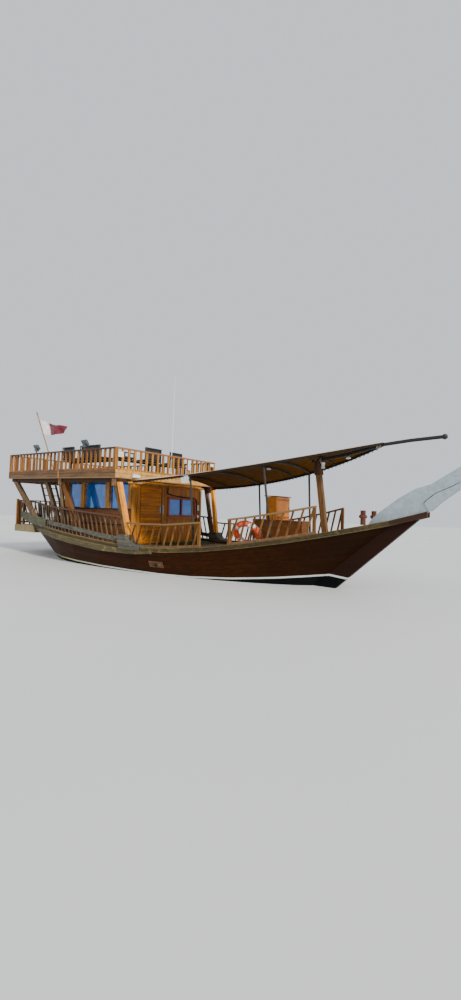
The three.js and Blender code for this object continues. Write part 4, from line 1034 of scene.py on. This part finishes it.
def buildSeats():
    padMaterial = padPaint("padCloth", seatLook)
    steel = paintLook("seatFrame", seatLook["frame"], seatLook["frameLight"], 0.42, metal=0.4,
                      bare=seatLook["frameBare"])
    # columns: name, middle x y z in the upper deck's frame, size, channels, turned across the deck, upright
    pads = [
        ("seatPadSide1", (-3.40, -1.35, 0.722), (1.28, 0.44, 0.11), 1, False, False),
        ("seatPadSide2", (-2.10, -1.35, 0.722), (1.28, 0.44, 0.11), 1, False, False),
        ("backPadSide1", (-3.60, -1.525, 0.945), (0.68, 0.40, 0.09), 2, False, True),
        ("backPadSide2", (-2.30, -1.525, 0.95), (1.08, 0.41, 0.09), 3, False, True),
        ("seatPadFront1", (-0.905, -1.20, 0.722), (0.48, 0.43, 0.11), 0, True, False),
        ("seatPadFront2", (-0.905, -0.20, 0.722), (0.74, 0.43, 0.11), 1, True, False),
        ("seatPadFront3", (-0.905, 0.85, 0.722), (0.62, 0.43, 0.11), 1, True, False),
        ("backPadFront2", (-0.722, -0.20, 0.945), (0.68, 0.40, 0.08), 2, True, True),
        ("backPadFront3", (-0.722, 0.855, 0.935), (0.57, 0.38, 0.08), 2, True, True),
    ]
    edges = [cushion(*pad, padMaterial) for pad in pads]
    for i, edge in enumerate(edges):
        piping = tubes("padPiping%d" % (i + 1), [edge], 0.006, padMaterial, sides=6, closed=True)

    # frames: columns are middle x y z in the deck's frame, and size
    deck, legs = seatLook["deckTop"], seatLook["legHigh"]
    sideRows, frontRows = [], []
    for x in (-4.0, -2.75, -1.5):
        sideRows += [(x, y, deck + legs / 2, 0.045, 0.045, legs) for y in (-1.55, -1.17)]
        sideRows.append((x, -1.36, deck + 0.10, 0.03, 0.40, 0.03))
    sideRows += [(-2.75, y, deck + 0.395, 2.58, 0.035, 0.045) for y in (-1.575, -1.145)]
    for x0, x1 in ((-3.95, -3.25), (-2.85, -1.75)):
        middle, long = (x0 + x1) / 2, x1 - x0
        sideRows += [(x, -1.57, deck + 0.65, 0.035, 0.03, 0.50) for x in (x0 + 0.02, x1 - 0.02)]
        sideRows.append((middle, -1.57, deck + 0.885, long, 0.032, 0.04))
        sideRows.append((middle, -1.57, deck + 0.50, long, 0.026, 0.03))
    for y in (-1.40, -0.03, 1.35):
        frontRows += [(x, y, deck + legs / 2, 0.045, 0.045, legs) for x in (-1.09, -0.71)]
        frontRows.append((-0.90, y, deck + 0.10, 0.38, 0.03, 0.03))
    frontRows += [(x, -0.03, deck + 0.395, 0.035, 2.82, 0.045) for x in (-1.115, -0.685)]
    for y0, y1, top in ((-1.40, -1.0, 0.64), (-0.55, 0.15, 0.905), (0.56, 1.15, 0.88)):
        posts = (y0 + 0.02, y1 - 0.02)
        frontRows += [(-0.68, y, deck + (legs + top) / 2, 0.03, 0.035, top - legs) for y in posts]
        frontRows.append((-0.68, (y0 + y1) / 2, deck + top - 0.02, 0.034, y1 - y0, 0.04))
    slats = [(x, -1.36, deck + 0.412, 0.11, 0.42, 0.014) for x in np.arange(-3.95, -1.5, 0.16)]
    slats += [(-0.90, y, deck + 0.412, 0.42, 0.11, 0.014) for y in np.arange(-1.38, 1.36, 0.16)]
    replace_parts(upperBoards("seatFrameSide", sideRows, steel, 0.006), "bench_side")
    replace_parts(upperBoards("seatFrameFront", frontRows, steel, 0.006), "bench_front")
    upperBoards("seatSlats", slats, timber("seatSlatWood", bareWood), 0.003)


buildSeats()
print("seats padded")


# Trims: shared finishes

trimMaterial = timber("trimWood", trimLook)
darkTrimMaterial = timber("darkTrimWood", dict(trimLook, dark="#5a3820", light="#835432"))
whiteMaterial = paintLook("whitePaint", "#e6e8e5", "#c9ccc8", 0.42, 0.1, bare="#aeb2ae")
zincMaterial = paintLook("zincPlate", "#8b9294", "#a4abad", 0.35, 0.18, metal=0.7, bare="#6e5a48")
lensMaterial = paintLook("lampLens", "#dfe7ea", "#f4f8fa", 0.12, 0.02, coat=0.8)
floodGlassMaterial = paintLook("floodGlass", "#3a4246", "#50595d", 0.3, 0.1, bare="#7a8488")
ropeMaterial = paintLook("ropeFibre", "#c9bda4", "#8f8268", 0.85, 0.25, bare="#6e634d", size=30.0,
                         strength=0.5)


def deckAt(x):    # top of the main deck along the boat
    return sheerAt(x) - sheer["deckBelow"]


# Wheelhouse front: posts, lintel, window frame, cable and door boards

def buildHouseFront():
    # columns of each table: middle x y z, size x y z
    boards("doorTrims", [
        (-1.286, -0.275, 1.645, 0.028, 0.11, 1.81), (-1.287, -1.290, 1.645, 0.026, 0.075, 1.81),
        (-1.288, 0.000, 2.5425, 0.024, 2.98, 0.030), (-1.286, -1.500, 1.645, 0.028, 0.095, 1.81),
        (-1.286, 1.500, 1.645, 0.028, 0.095, 1.81), (-1.288, 0.640, 0.775, 0.024, 1.62, 0.085),
        (-1.288, 0.640, 1.545, 0.024, 1.62, 0.045),
    ], trimMaterial)
    boards("windowFrameFront", [
        (-1.284, 0.61, 2.182, 0.032, 1.36, 0.062), (-1.282, 0.61, 1.610, 0.036, 1.38, 0.064),
        (-1.285, -0.035, 1.895, 0.030, 0.075, 0.52), (-1.285, 1.255, 1.895, 0.030, 0.075, 0.52),
        (-1.318, 0.61, 1.895, 0.036, 0.050, 0.51),
    ], timber("frameWood", frameLook))
    rows = [(-1.2935, -0.776, z, 0.006, 0.836, 0.083) for z in np.arange(0.782, 2.50, 0.0887)]
    rows += [(-1.2895, y, 1.63, 0.010, 0.07, 1.76) for y in (-1.158, -0.394)]
    boards("doorBoards", rows, timber("doorBoardWood", doorLook), "cabin_door", 0.003)
    boards("doorLatch", [(-1.282, -0.392, 1.80, 0.006, 0.050, 0.20)], zincMaterial, "cabin_door", 0.002)
    grip = [(-1.279, -0.392, 1.83), (-1.240, -0.392, 1.83), (-1.240, -0.470, 1.825), (-1.240, -0.520, 1.80)]
    tubes("doorHandle", [rounded(grip)], 0.008, zincMaterial, "cabin_door")
    rows = [(-1.269, -0.285, 1.81, 0.006, 0.055, 0.28), (-1.262, -0.285, 1.81, 0.012, 0.026, 0.10)]
    boards("latchPlate", rows, zincMaterial, bevel=0.002)
    profile = [(0.052, 0.0), (0.052, 0.012), (0.044, 0.026), (0.022, 0.034)]
    lathe("roundFitting", [(-1.300, 1.395, 1.60)], profile, whiteMaterial, (1, 0, 0))
    cable = [(-1.282, -0.07, 2.548), (-1.262, -0.10, 2.42), (-1.253, -0.15, 2.33), (-1.253, 0.24, 2.265),
             (-1.253, 0.63, 2.235), (-1.253, 1.20, 2.232), (-1.253, 1.30, 2.12), (-1.262, 1.31, 1.75),
             (-1.288, 1.31, 1.39)]
    tubes("frontCable", [rounded(cable)], 0.016, tubeMaterial)
    clips = [(-1.272, y, z, 0.036, 0.016, 0.040) for y, z in ((0.05, 2.297), (0.63, 2.238), (1.12, 2.232))]
    clips += [(-1.278, 1.31, z, 0.030, 0.040, 0.016) for z in (1.95, 1.52)]
    boards("cableClips", clips, tubeMaterial, bevel=0.002)
    boards("noticePlate", [(-1.2955, 1.40, 1.90, 0.008, 0.13, 0.19)], whiteMaterial, bevel=0.002)


# Mat across the wheelhouse front

matShape = {
    "x": (-1.255, -0.60), "y": (-1.30, 1.60), "above": 0.0045, "ripple": 0.0012, "thick": 0.006, "hem": 0.02,
    "color": "#24541c", "dark": "#173612", "edge": "#12260e",
}


def matPaint(name, shape):
    place, at, _ = startMaterial(name)
    weave = useGroup(weaveGroup, {"Flat": place, "Threads": 420.0})["Height"]
    _, dirt = weathered(place, 0.25, 6.0)
    middle, half = np.mean(shape["y"]), np.ptp(shape["y"]) / 2 - shape["hem"]
    color = fade(dirt, 0.35, 0.7, shape["color"], shape["dark"])
    color = fade(calc("ABSOLUTE", minus(at["Y"], middle)), half - 0.01, half + 0.01, color, shape["edge"])
    return endMaterial(color, 0.92, weave, 0.5, 0.003)


def buildMat():
    # a sheet whose height follows the deck and ripples a little
    rows, columns = 28, 90
    x = np.linspace(*matShape["x"], rows)[:, None]
    y = np.linspace(*matShape["y"], columns)[None, :]
    z = deckAt(x) + matShape["above"] + matShape["ripple"] * np.sin(y * 11 + x * 5) * np.sin(x * 9)
    grid = gridPoints(x, y, z)
    mat = addMesh("doorMat", grid, gridFaces(rows, columns)[:, ::-1], matPaint("matFibre", matShape))
    faceOutward(thicken(mat, matShape["thick"]))


# Wheelhouse sides: posts between the windows, top rail, black sill strip, brackets under the deck

def buildHouseSides():
    posts, strips, blocks, joints = [], [], [], []
    lean, sill = math.degrees(upper["rise"]), wallLook["sill"]
    for side in (-1, 1):
        for x, wide in ((-4.775, 0.15), (-3.835, 0.20), (-2.475, 0.20), (-1.375, 0.12)):
            top = underUpper(x) - 0.012
            posts.append((x, side * 1.563, (sill + top) / 2, wide, 0.026, top - sill))
        posts.append((-3.08, side * 1.561, underUpper(-3.08) - 0.045, 3.50, 0.022, 0.070, 0, lean, 0))
        strips.append((-3.08, side * 1.568, 1.785, 3.52, 0.034, 0.032))
        strips.append((-3.08, side * 1.5565, 1.30, 3.50, 0.012, 0.045))
        blocks.append((-1.40, side * 2.065, 2.565, 0.20, 0.155, 0.22))
        blocks.append((-4.30, side * 2.10, 2.645, 0.15, 0.14, 0.20))
        blocks.append((-3.46, side * 1.63, 2.655, 0.14, 0.14, 0.15))
        blocks.append((-3.95, side * 1.64, 2.665, 0.10, 0.14, 0.12))
        joints.append((-3.05, side * 2.219, 0.125, 0.075, 0.016, 0.252))
        joints.append((-3.05, side * 2.212, 0.60, 0.075, 0.016, 0.62))
    boards("sideWindowPosts", posts, trimMaterial)
    boards("sillStrips", strips, tubeMaterial)
    bracketWood = timber("bracketWood", dict(bareWood, dark="#6b5238", light="#9b7a55"))
    boards("deckBrackets", blocks, bracketWood, bevel=0.008)
    upperBoards("fasciaJoints", joints, timber("jointWood", dict(railLook, dark="#6e4c2c", light="#9a7040")))


# Stern: beams under the upper deck, gallery posts, rudder straps and gudgeons

def buildStern():
    lean = math.degrees(upper["rise"])
    stations = (-5.25, -5.70, -6.13, -7.25, -7.65)
    beams = [(x, 0.0, underUpper(x) - 0.066, 0.09, 3.72, 0.125, 0, lean, 0) for x in stations]
    beamLook = dict(bareWood, along="y", across="x", dark="#4c3624", light="#77583b")
    boards("upperDeckBeams", beams, timber("beamWood", beamLook), bevel=0.006)
    corners, rails, straps, bolts, gudgeons = [], [], [], [], []
    for side in (-1, 1):
        corners.append((-8.700, side * 1.385, 1.575, 0.085, 0.085, 1.05))
        rails.append((-8.10, side * 1.44, 1.56, 0.07, 0.05, 0.92))
        for z in (0.42, -0.20, -0.82):
            straps.append((-7.45, side * 0.0365, z, 0.35, 0.010, 0.065))
            bolts += [(x, side * 0.041, z, 0.022, 0.010, 0.022) for x in (-7.58, -7.45, -7.33)]
            gudgeons.append((-7.13, side * 0.0805, z - 0.08, 0.20, 0.010, 0.075))
    postLook = dict(trimLook, dark="#8a5220", light="#bf7c3b", worn=0.25)
    boards("galleryPosts", corners, timber("galleryPostWood", postLook), bevel=0.008)
    boards("darkPosts", rails, darkTrimMaterial, bevel=0.006)
    boards("rudderStraps", straps, zincMaterial, "rudder", 0.003)
    boards("rudderBolts", bolts, zincMaterial, "rudder", 0.004)
    boards("sternGudgeons", gudgeons, zincMaterial, bevel=0.003)


# Quarter boards: a wide board outside each aft pillar's foot, from the gallery's corner to the side rail

quarterLook = dict(waleLook, dark="#4b4a35", light="#63614b", bare="#757260", thick=0.03)


def buildQuarterBoards():
    # columns: x, distance out, low edge, top edge; a smooth line is drawn through the rows
    shape = np.array([
        (-8.12, 1.500, 1.430, 1.585), (-8.05, 1.503, 1.365, 1.606), (-7.60, 1.540, 1.235, 1.578),
        (-7.30, 1.600, 1.205, 1.555), (-6.90, 1.750, 1.180, 1.518), (-6.50, 1.900, 1.155, 1.480),
        (-6.15, 1.930, 1.130, 1.452), (-5.70, 1.990, 1.095, 1.418), (-5.32, 2.040, 1.070, 1.392),
    ])
    rows, columns = 61, 7
    x = np.linspace(shape[0, 0], shape[-1, 0], rows)
    out, low, top = [np.interp(x, shape[:, 0], shape[:, i]) for i in (1, 2, 3)]
    out = np.convolve(np.pad(out, 4, mode="edge"), np.ones(9) / 9, "valid")
    z = low[:, None] + (top - low)[:, None] * np.linspace(0, 1, columns)
    wood = timber("quarterWood", quarterLook)
    for name, side in (("quarterBoardStbd", -1), ("quarterBoardPort", 1)):
        grid = gridPoints(x[:, None], side * out[:, None], z)
        piece = addMesh(name, grid, gridFaces(rows, columns)[:, ::side], wood)
        softEdges(thicken(piece, quarterLook["thick"]), 0.006)


# Lamps, plates and the whip antenna's foot

def floodlight(name, place, faceDown, material, lens):
    # columns: middle x y z and size of each board in the lamp's own frame, which faces -Y and tips down
    tilt = math.radians(faceDown)
    c, s = math.cos(tilt), math.sin(tilt)
    shell = [(0, 0.000, 0, 0.250, 0.040, 0.200)]
    shell += [(0, -0.024, z, 0.262, 0.014, 0.014) for z in (0.094, -0.094)]
    shell += [(x, -0.024, 0, 0.014, 0.014, 0.190) for x in (-0.124, 0.124)]
    shell += [(x, 0.034, 0, 0.008, 0.036, 0.170) for x in np.linspace(-0.105, 0.105, 8)]
    glass = [(0, -0.0225, 0, 0.232, 0.006, 0.176)]

    def turned(rows):
        return [(place[0] + x, place[1] + y * c - z * s, place[2] + y * s + z * c, *size, faceDown, 0, 0)
                for x, y, z, *size in rows]

    boards(name + "Shell", turned(shell), material, bevel=0.003)
    boards(name + "Glass", turned(glass), lens, bevel=0.002)


def buildLamps():
    for name, x in (("floodAft", -4.60), ("floodFore", -1.63)):
        spot = np.array(onUpperDeck(x, -2.185, 1.105))
        floodlight(name, spot, 33, materials["floodlight_aft"], floodGlassMaterial)
        fork = spot + [(-0.140, 0.01, 0.02), (-0.140, 0.02, -0.135),
                       (0.140, 0.02, -0.135), (0.140, 0.01, 0.02)]
        tubes(name + "Fork", [rounded(fork, 2)], 0.008, steelMaterial)
    floodlight("poleLamp", (1.03, -1.672, 2.615), 12, whiteMaterial, lensMaterial)
    boards("poleLampArm", [(1.15, -1.655, 2.60, 0.12, 0.03, 0.03)], steelMaterial)
    rows = [(-1.215, -1.47, 2.775, 0.056, 0.29, 0.10), (-1.226, -1.47, 2.735, 0.030, 0.20, 0.03)]
    boards("fasciaLamp", rows, whiteMaterial, bevel=0.01)
    boards("fasciaLampLens", [(-1.184, -1.47, 2.778, 0.010, 0.25, 0.075)], lensMaterial, bevel=0.004)
    profile = [(0.030, 0.0), (0.054, 0.006), (0.056, 0.026), (0.045, 0.032), (0.045, 0.122), (0.056, 0.128),
               (0.054, 0.150), (0.022, 0.158)]
    lathe("mastLamp", [(4.185, 0.0, 2.930)], profile, whiteMaterial)
    boards("mastLampArm", [(4.118, 0.0, 3.01, 0.06, 0.04, 0.05)], steelMaterial)
    profile = [(0.020, 0.0), (0.058, 0.006), (0.062, 0.022), (0.050, 0.040), (0.024, 0.058)]
    lathe("awningLamps", [(2.57, 0.0, 2.962), (4.85, 0.0, 3.132)], profile, whiteMaterial)
    rows = [(-1.226, -2.05, 3.375, 0.010, 0.19, 0.16), (-1.226, 0.825, 3.345, 0.010, 0.14, 0.33),
            (-1.226, 2.015, 3.465, 0.010, 0.18, 0.10)]
    boards("blankPlates", rows, whiteMaterial, bevel=0.002)
    profile = [(0.070, 0.0), (0.070, 0.014), (0.040, 0.022), (0.036, 0.120), (0.024, 0.150), (0.020, 0.260)]
    lathe("antennaFoot", [(-1.341, 0.10, 2.928)], profile, whiteMaterial)


# Mast, spar, awning poles and stem head

def lowestSpot(name, side):    # middle of the lowest points of a node on one side
    spots = np.array([nodes[name].matrix_world @ v.co for v in nodes[name].data.vertices])
    spots = spots[spots[:, 1] * side > 0]
    low = spots[spots[:, 2] < spots[:, 2].min() + 0.004]
    return (low.min(0) + low.max(0)) / 2


def buildRigging():
    lean = math.degrees(math.atan(0.135))    # the mast's lean aft
    cheeks = [(4.062, side * 0.0755, 2.945, 0.17, 0.022, 0.36, 0, -lean, 0) for side in (-1, 1)]
    cheekLook = dict(mastLook, dark="#34221a", light="#583b28", bare="#5e4a36")
    boards("mastCheeks", cheeks, timber("mastCheekWood", cheekLook), bevel=0.006)
    loops = []
    for x in (3.97, 4.00, 4.03, 4.12, 4.145, 5.55, 5.58, 5.61, 5.64):
        z = awningAt(x, 0.0)[2] - 0.10 + 0.054 * np.clip((x - 4.8) / 0.9, 0, 1)
        loops.append(ring(np.array((x, 0, z)), (0, 0.047, 0), (0, 0, 0.047), 16))
    tubes("sparLashings", loops, 0.007, ropeMaterial, sides=6, closed=True)
    feet = [lowestSpot(name, side) for name in ("awning_hoop_aft", "awning_hoop_fore") for side in (-1, 1)]
    profile = [(0.075, 0.0), (0.075, 0.008), (0.045, 0.012), (0.040, 0.055), (0.033, 0.060)]
    lathe("poleFlanges", feet, profile, steelMaterial)
    cheek = [(6.600, 2.075), (6.655, 2.135), (6.841, 2.285), (7.039, 2.375), (7.123, 2.410), (7.280, 2.495),
             (7.288, 2.360), (6.957, 2.109), (6.760, 1.915), (6.700, 1.905)]
    plates("stemHeadCheeks", [(cheek, -0.060, -0.0505), (cheek, 0.0505, 0.060)], materials["stem_head"])
    seam = np.array([(6.598, 2.070), (6.650, 2.137), (6.740, 2.215), (6.841, 2.290), (6.940, 2.335),
                     (7.039, 2.380), (7.123, 2.415), (7.285, 2.500)])
    lines = [gridPoints(seam[:, 0], side * 0.056, seam[:, 1]) for side in (-1, 1)]
    tubes("cheekSeams", lines, 0.007, tubeMaterial, sides=6)


# Foredeck: the cabinet's roof board and battens, the chest's edge strips, the lifebuoy's line

buoy = {
    "middle": (2.68, -1.0885, 1.2485), "long": (0.974, 0.225, 0.0), "high": (0.1258, -0.5449, 0.829),
    "lineFrom": 0.380, "lineSag": 0.024, "ringFrom": 0.300, "ringHalf": 0.080, "tieApart": 0.09,
}


def buildBuoyLine():
    # the line's distance from the middle swells between its four ties as a sine to the power 0.8
    middle, long, high = [np.array(buoy[key]) for key in ("middle", "long", "high")]
    turn = np.linspace(0, 2 * np.pi, 96, endpoint=False)[:, None]
    reach = buoy["lineFrom"] + buoy["lineSag"] * np.abs(np.sin(2 * (turn - np.pi / 4))) ** 0.8
    line = middle + reach * (np.cos(turn) * long + np.sin(turn) * high)
    ties = []
    for quarterTurn in range(4):
        for shift in (-buoy["tieApart"], buoy["tieApart"]):
            spot = np.pi / 4 + np.pi / 2 * quarterTurn + shift
            ray = math.cos(spot) * long + math.sin(spot) * high
            across = buoy["ringHalf"] * np.cross(long, high)
            ties.append(ring(middle + buoy["ringFrom"] * ray, buoy["ringHalf"] * ray, across, 14))
    tubes("buoyLine", [line], 0.006, ropeMaterial, sides=6, closed=True)
    tubes("buoyTies", ties, 0.005, ropeMaterial, sides=5, closed=True)


def buildForedeck():
    rows = [(2.285, 0.965, 2.2725, 0.45, 0.80, 0.024, 0, 2.0, 0)]
    boards("cabinetRoof", rows, darkTrimMaterial, bevel=0.006)
    rows = [(1.88, 0.948, 1.5905, 0.46, 0.74, 0.020), (2.905, 0.592, 1.563, 0.82, 0.014, 0.032),
            (2.915, 1.008, 1.563, 0.80, 0.014, 0.032), (3.308, 0.800, 1.563, 0.014, 0.428, 0.032)]
    boards("chestRims", rows, darkTrimMaterial, bevel=0.006)
    rows = [(2.478, 1.27, 1.93, 0.008, 0.03, 0.12), (2.494, 1.27, 1.93, 0.026, 0.014, 0.06)]
    boards("cabinetHandle", rows, zincMaterial, "locker_door", 0.003)
    rows = [(2.478, 0.965, z, 0.007, 0.66, 0.055) for z in (1.66, 2.17)]
    boards("cabinetBattens", rows, timber("cabinetBattenWood", lockerLook), "locker_door", 0.002)


# Hull outlet: a worn pad that follows the planking, with a pipe end in its middle

outlet = {"x": (-0.05, 0.43), "z": (0.21, 0.375), "pipe": (0.20, 0.292), "proud": 0.006, "thick": 0.016}


def hullSide(x, z):    # a place on the planking, starboard, and its facing
    hit, spot, normal, index = nodes["hull"].ray_cast((x, -5.0, z), (0.0, 1.0, 0.0))
    return np.array(spot), np.array(normal)


def buildOutlet():
    rows, columns = 13, 6
    xs, zs = np.linspace(*outlet["x"], rows), np.linspace(*outlet["z"], columns)
    grid = np.array([[hullSide(x, z)[0] for z in zs] for x in xs]) - (0, outlet["proud"], 0)
    paint = paintLook("outletWood", "#3e2814", "#5f3d20", 0.75, 0.5, bare="#8a5c34")
    pad = addMesh("outletPad", grid, gridFaces(rows, columns), paint)
    softEdges(thicken(pad, outlet["thick"]), 0.003)
    spot, normal = hullSide(*outlet["pipe"])
    profile = [(0.062, 0.0), (0.062, 0.010), (0.044, 0.016), (0.040, 0.030), (0.030, 0.030), (0.028, 0.002)]
    lathe("outletPipe", [spot + normal * 0.008], profile, tubeMaterial, normal)


buildHouseFront()
buildMat()
buildHouseSides()
buildStern()
buildQuarterBoards()
buildLamps()
buildRigging()
buildForedeck()
buildBuoyLine()
buildOutlet()
print("trims fitted")


# Floor and studio light

studio = {
    "sky": (0.82, 0.87, 0.93, 1.0), "skyPower": 1.0,
    "sunFrom": (0.90, -0.22, 0.60), "sunPower": 4.0, "sunSpread": 9.0, "sunColor": (1.0, 0.95, 0.86),
    "fillAt": (-4.0, -26.0, 10.0), "fillTo": (-1.0, 0.0, 1.5), "fillPower": 350.0, "fillSize": 18.0,
    "floorHalf": 90.0, "floor": (0.62, 0.63, 0.63, 1.0), "floorLight": (0.66, 0.66, 0.66, 1.0),
}


def addLight(name, kind, shines, place=(0.0, 0.0, 0.0), **settings):
    light = bpy.data.lights.new(name, kind)
    for key, value in settings.items():
        setattr(light, key, value)
    lamp = bpy.data.objects.new(name, light)
    lamp.location = place
    lamp.rotation_mode = "QUATERNION"
    lamp.rotation_quaternion = shines.to_track_quat("-Z", "Y")
    bpy.context.scene.collection.objects.link(lamp)


def buildStudio():
    half = studio["floorHalf"]
    mesh = bpy.data.meshes.new("floor")
    corners = [(-half, -half, 0), (half, -half, 0), (half, half, 0), (-half, half, 0)]
    mesh.from_pydata(corners, [], [(0, 1, 2, 3)])
    floor = bpy.data.objects.new("floor", mesh)
    bpy.context.scene.collection.objects.link(floor)
    place, _, _ = startMaterial("floorPaint")
    cloudy = fade(noise(place, 0.15, 2.0), 0.3, 0.7, studio["floor"], studio["floorLight"])
    mesh.materials.append(endMaterial(cloudy, 0.7))
    world = bpy.data.worlds.new("studio")
    world.use_nodes = True
    back = world.node_tree.nodes["Background"]
    back.inputs["Color"].default_value = studio["sky"]
    back.inputs["Strength"].default_value = studio["skyPower"]
    bpy.context.scene.world = world
    addLight("keySun", "SUN", -Vector(studio["sunFrom"]), energy=studio["sunPower"],
             angle=math.radians(studio["sunSpread"]), color=studio["sunColor"])
    addLight("fillPanel", "AREA", Vector(studio["fillTo"]) - Vector(studio["fillAt"]), studio["fillAt"],
             energy=studio["fillPower"], size=studio["fillSize"])


buildStudio()
print("studio built")
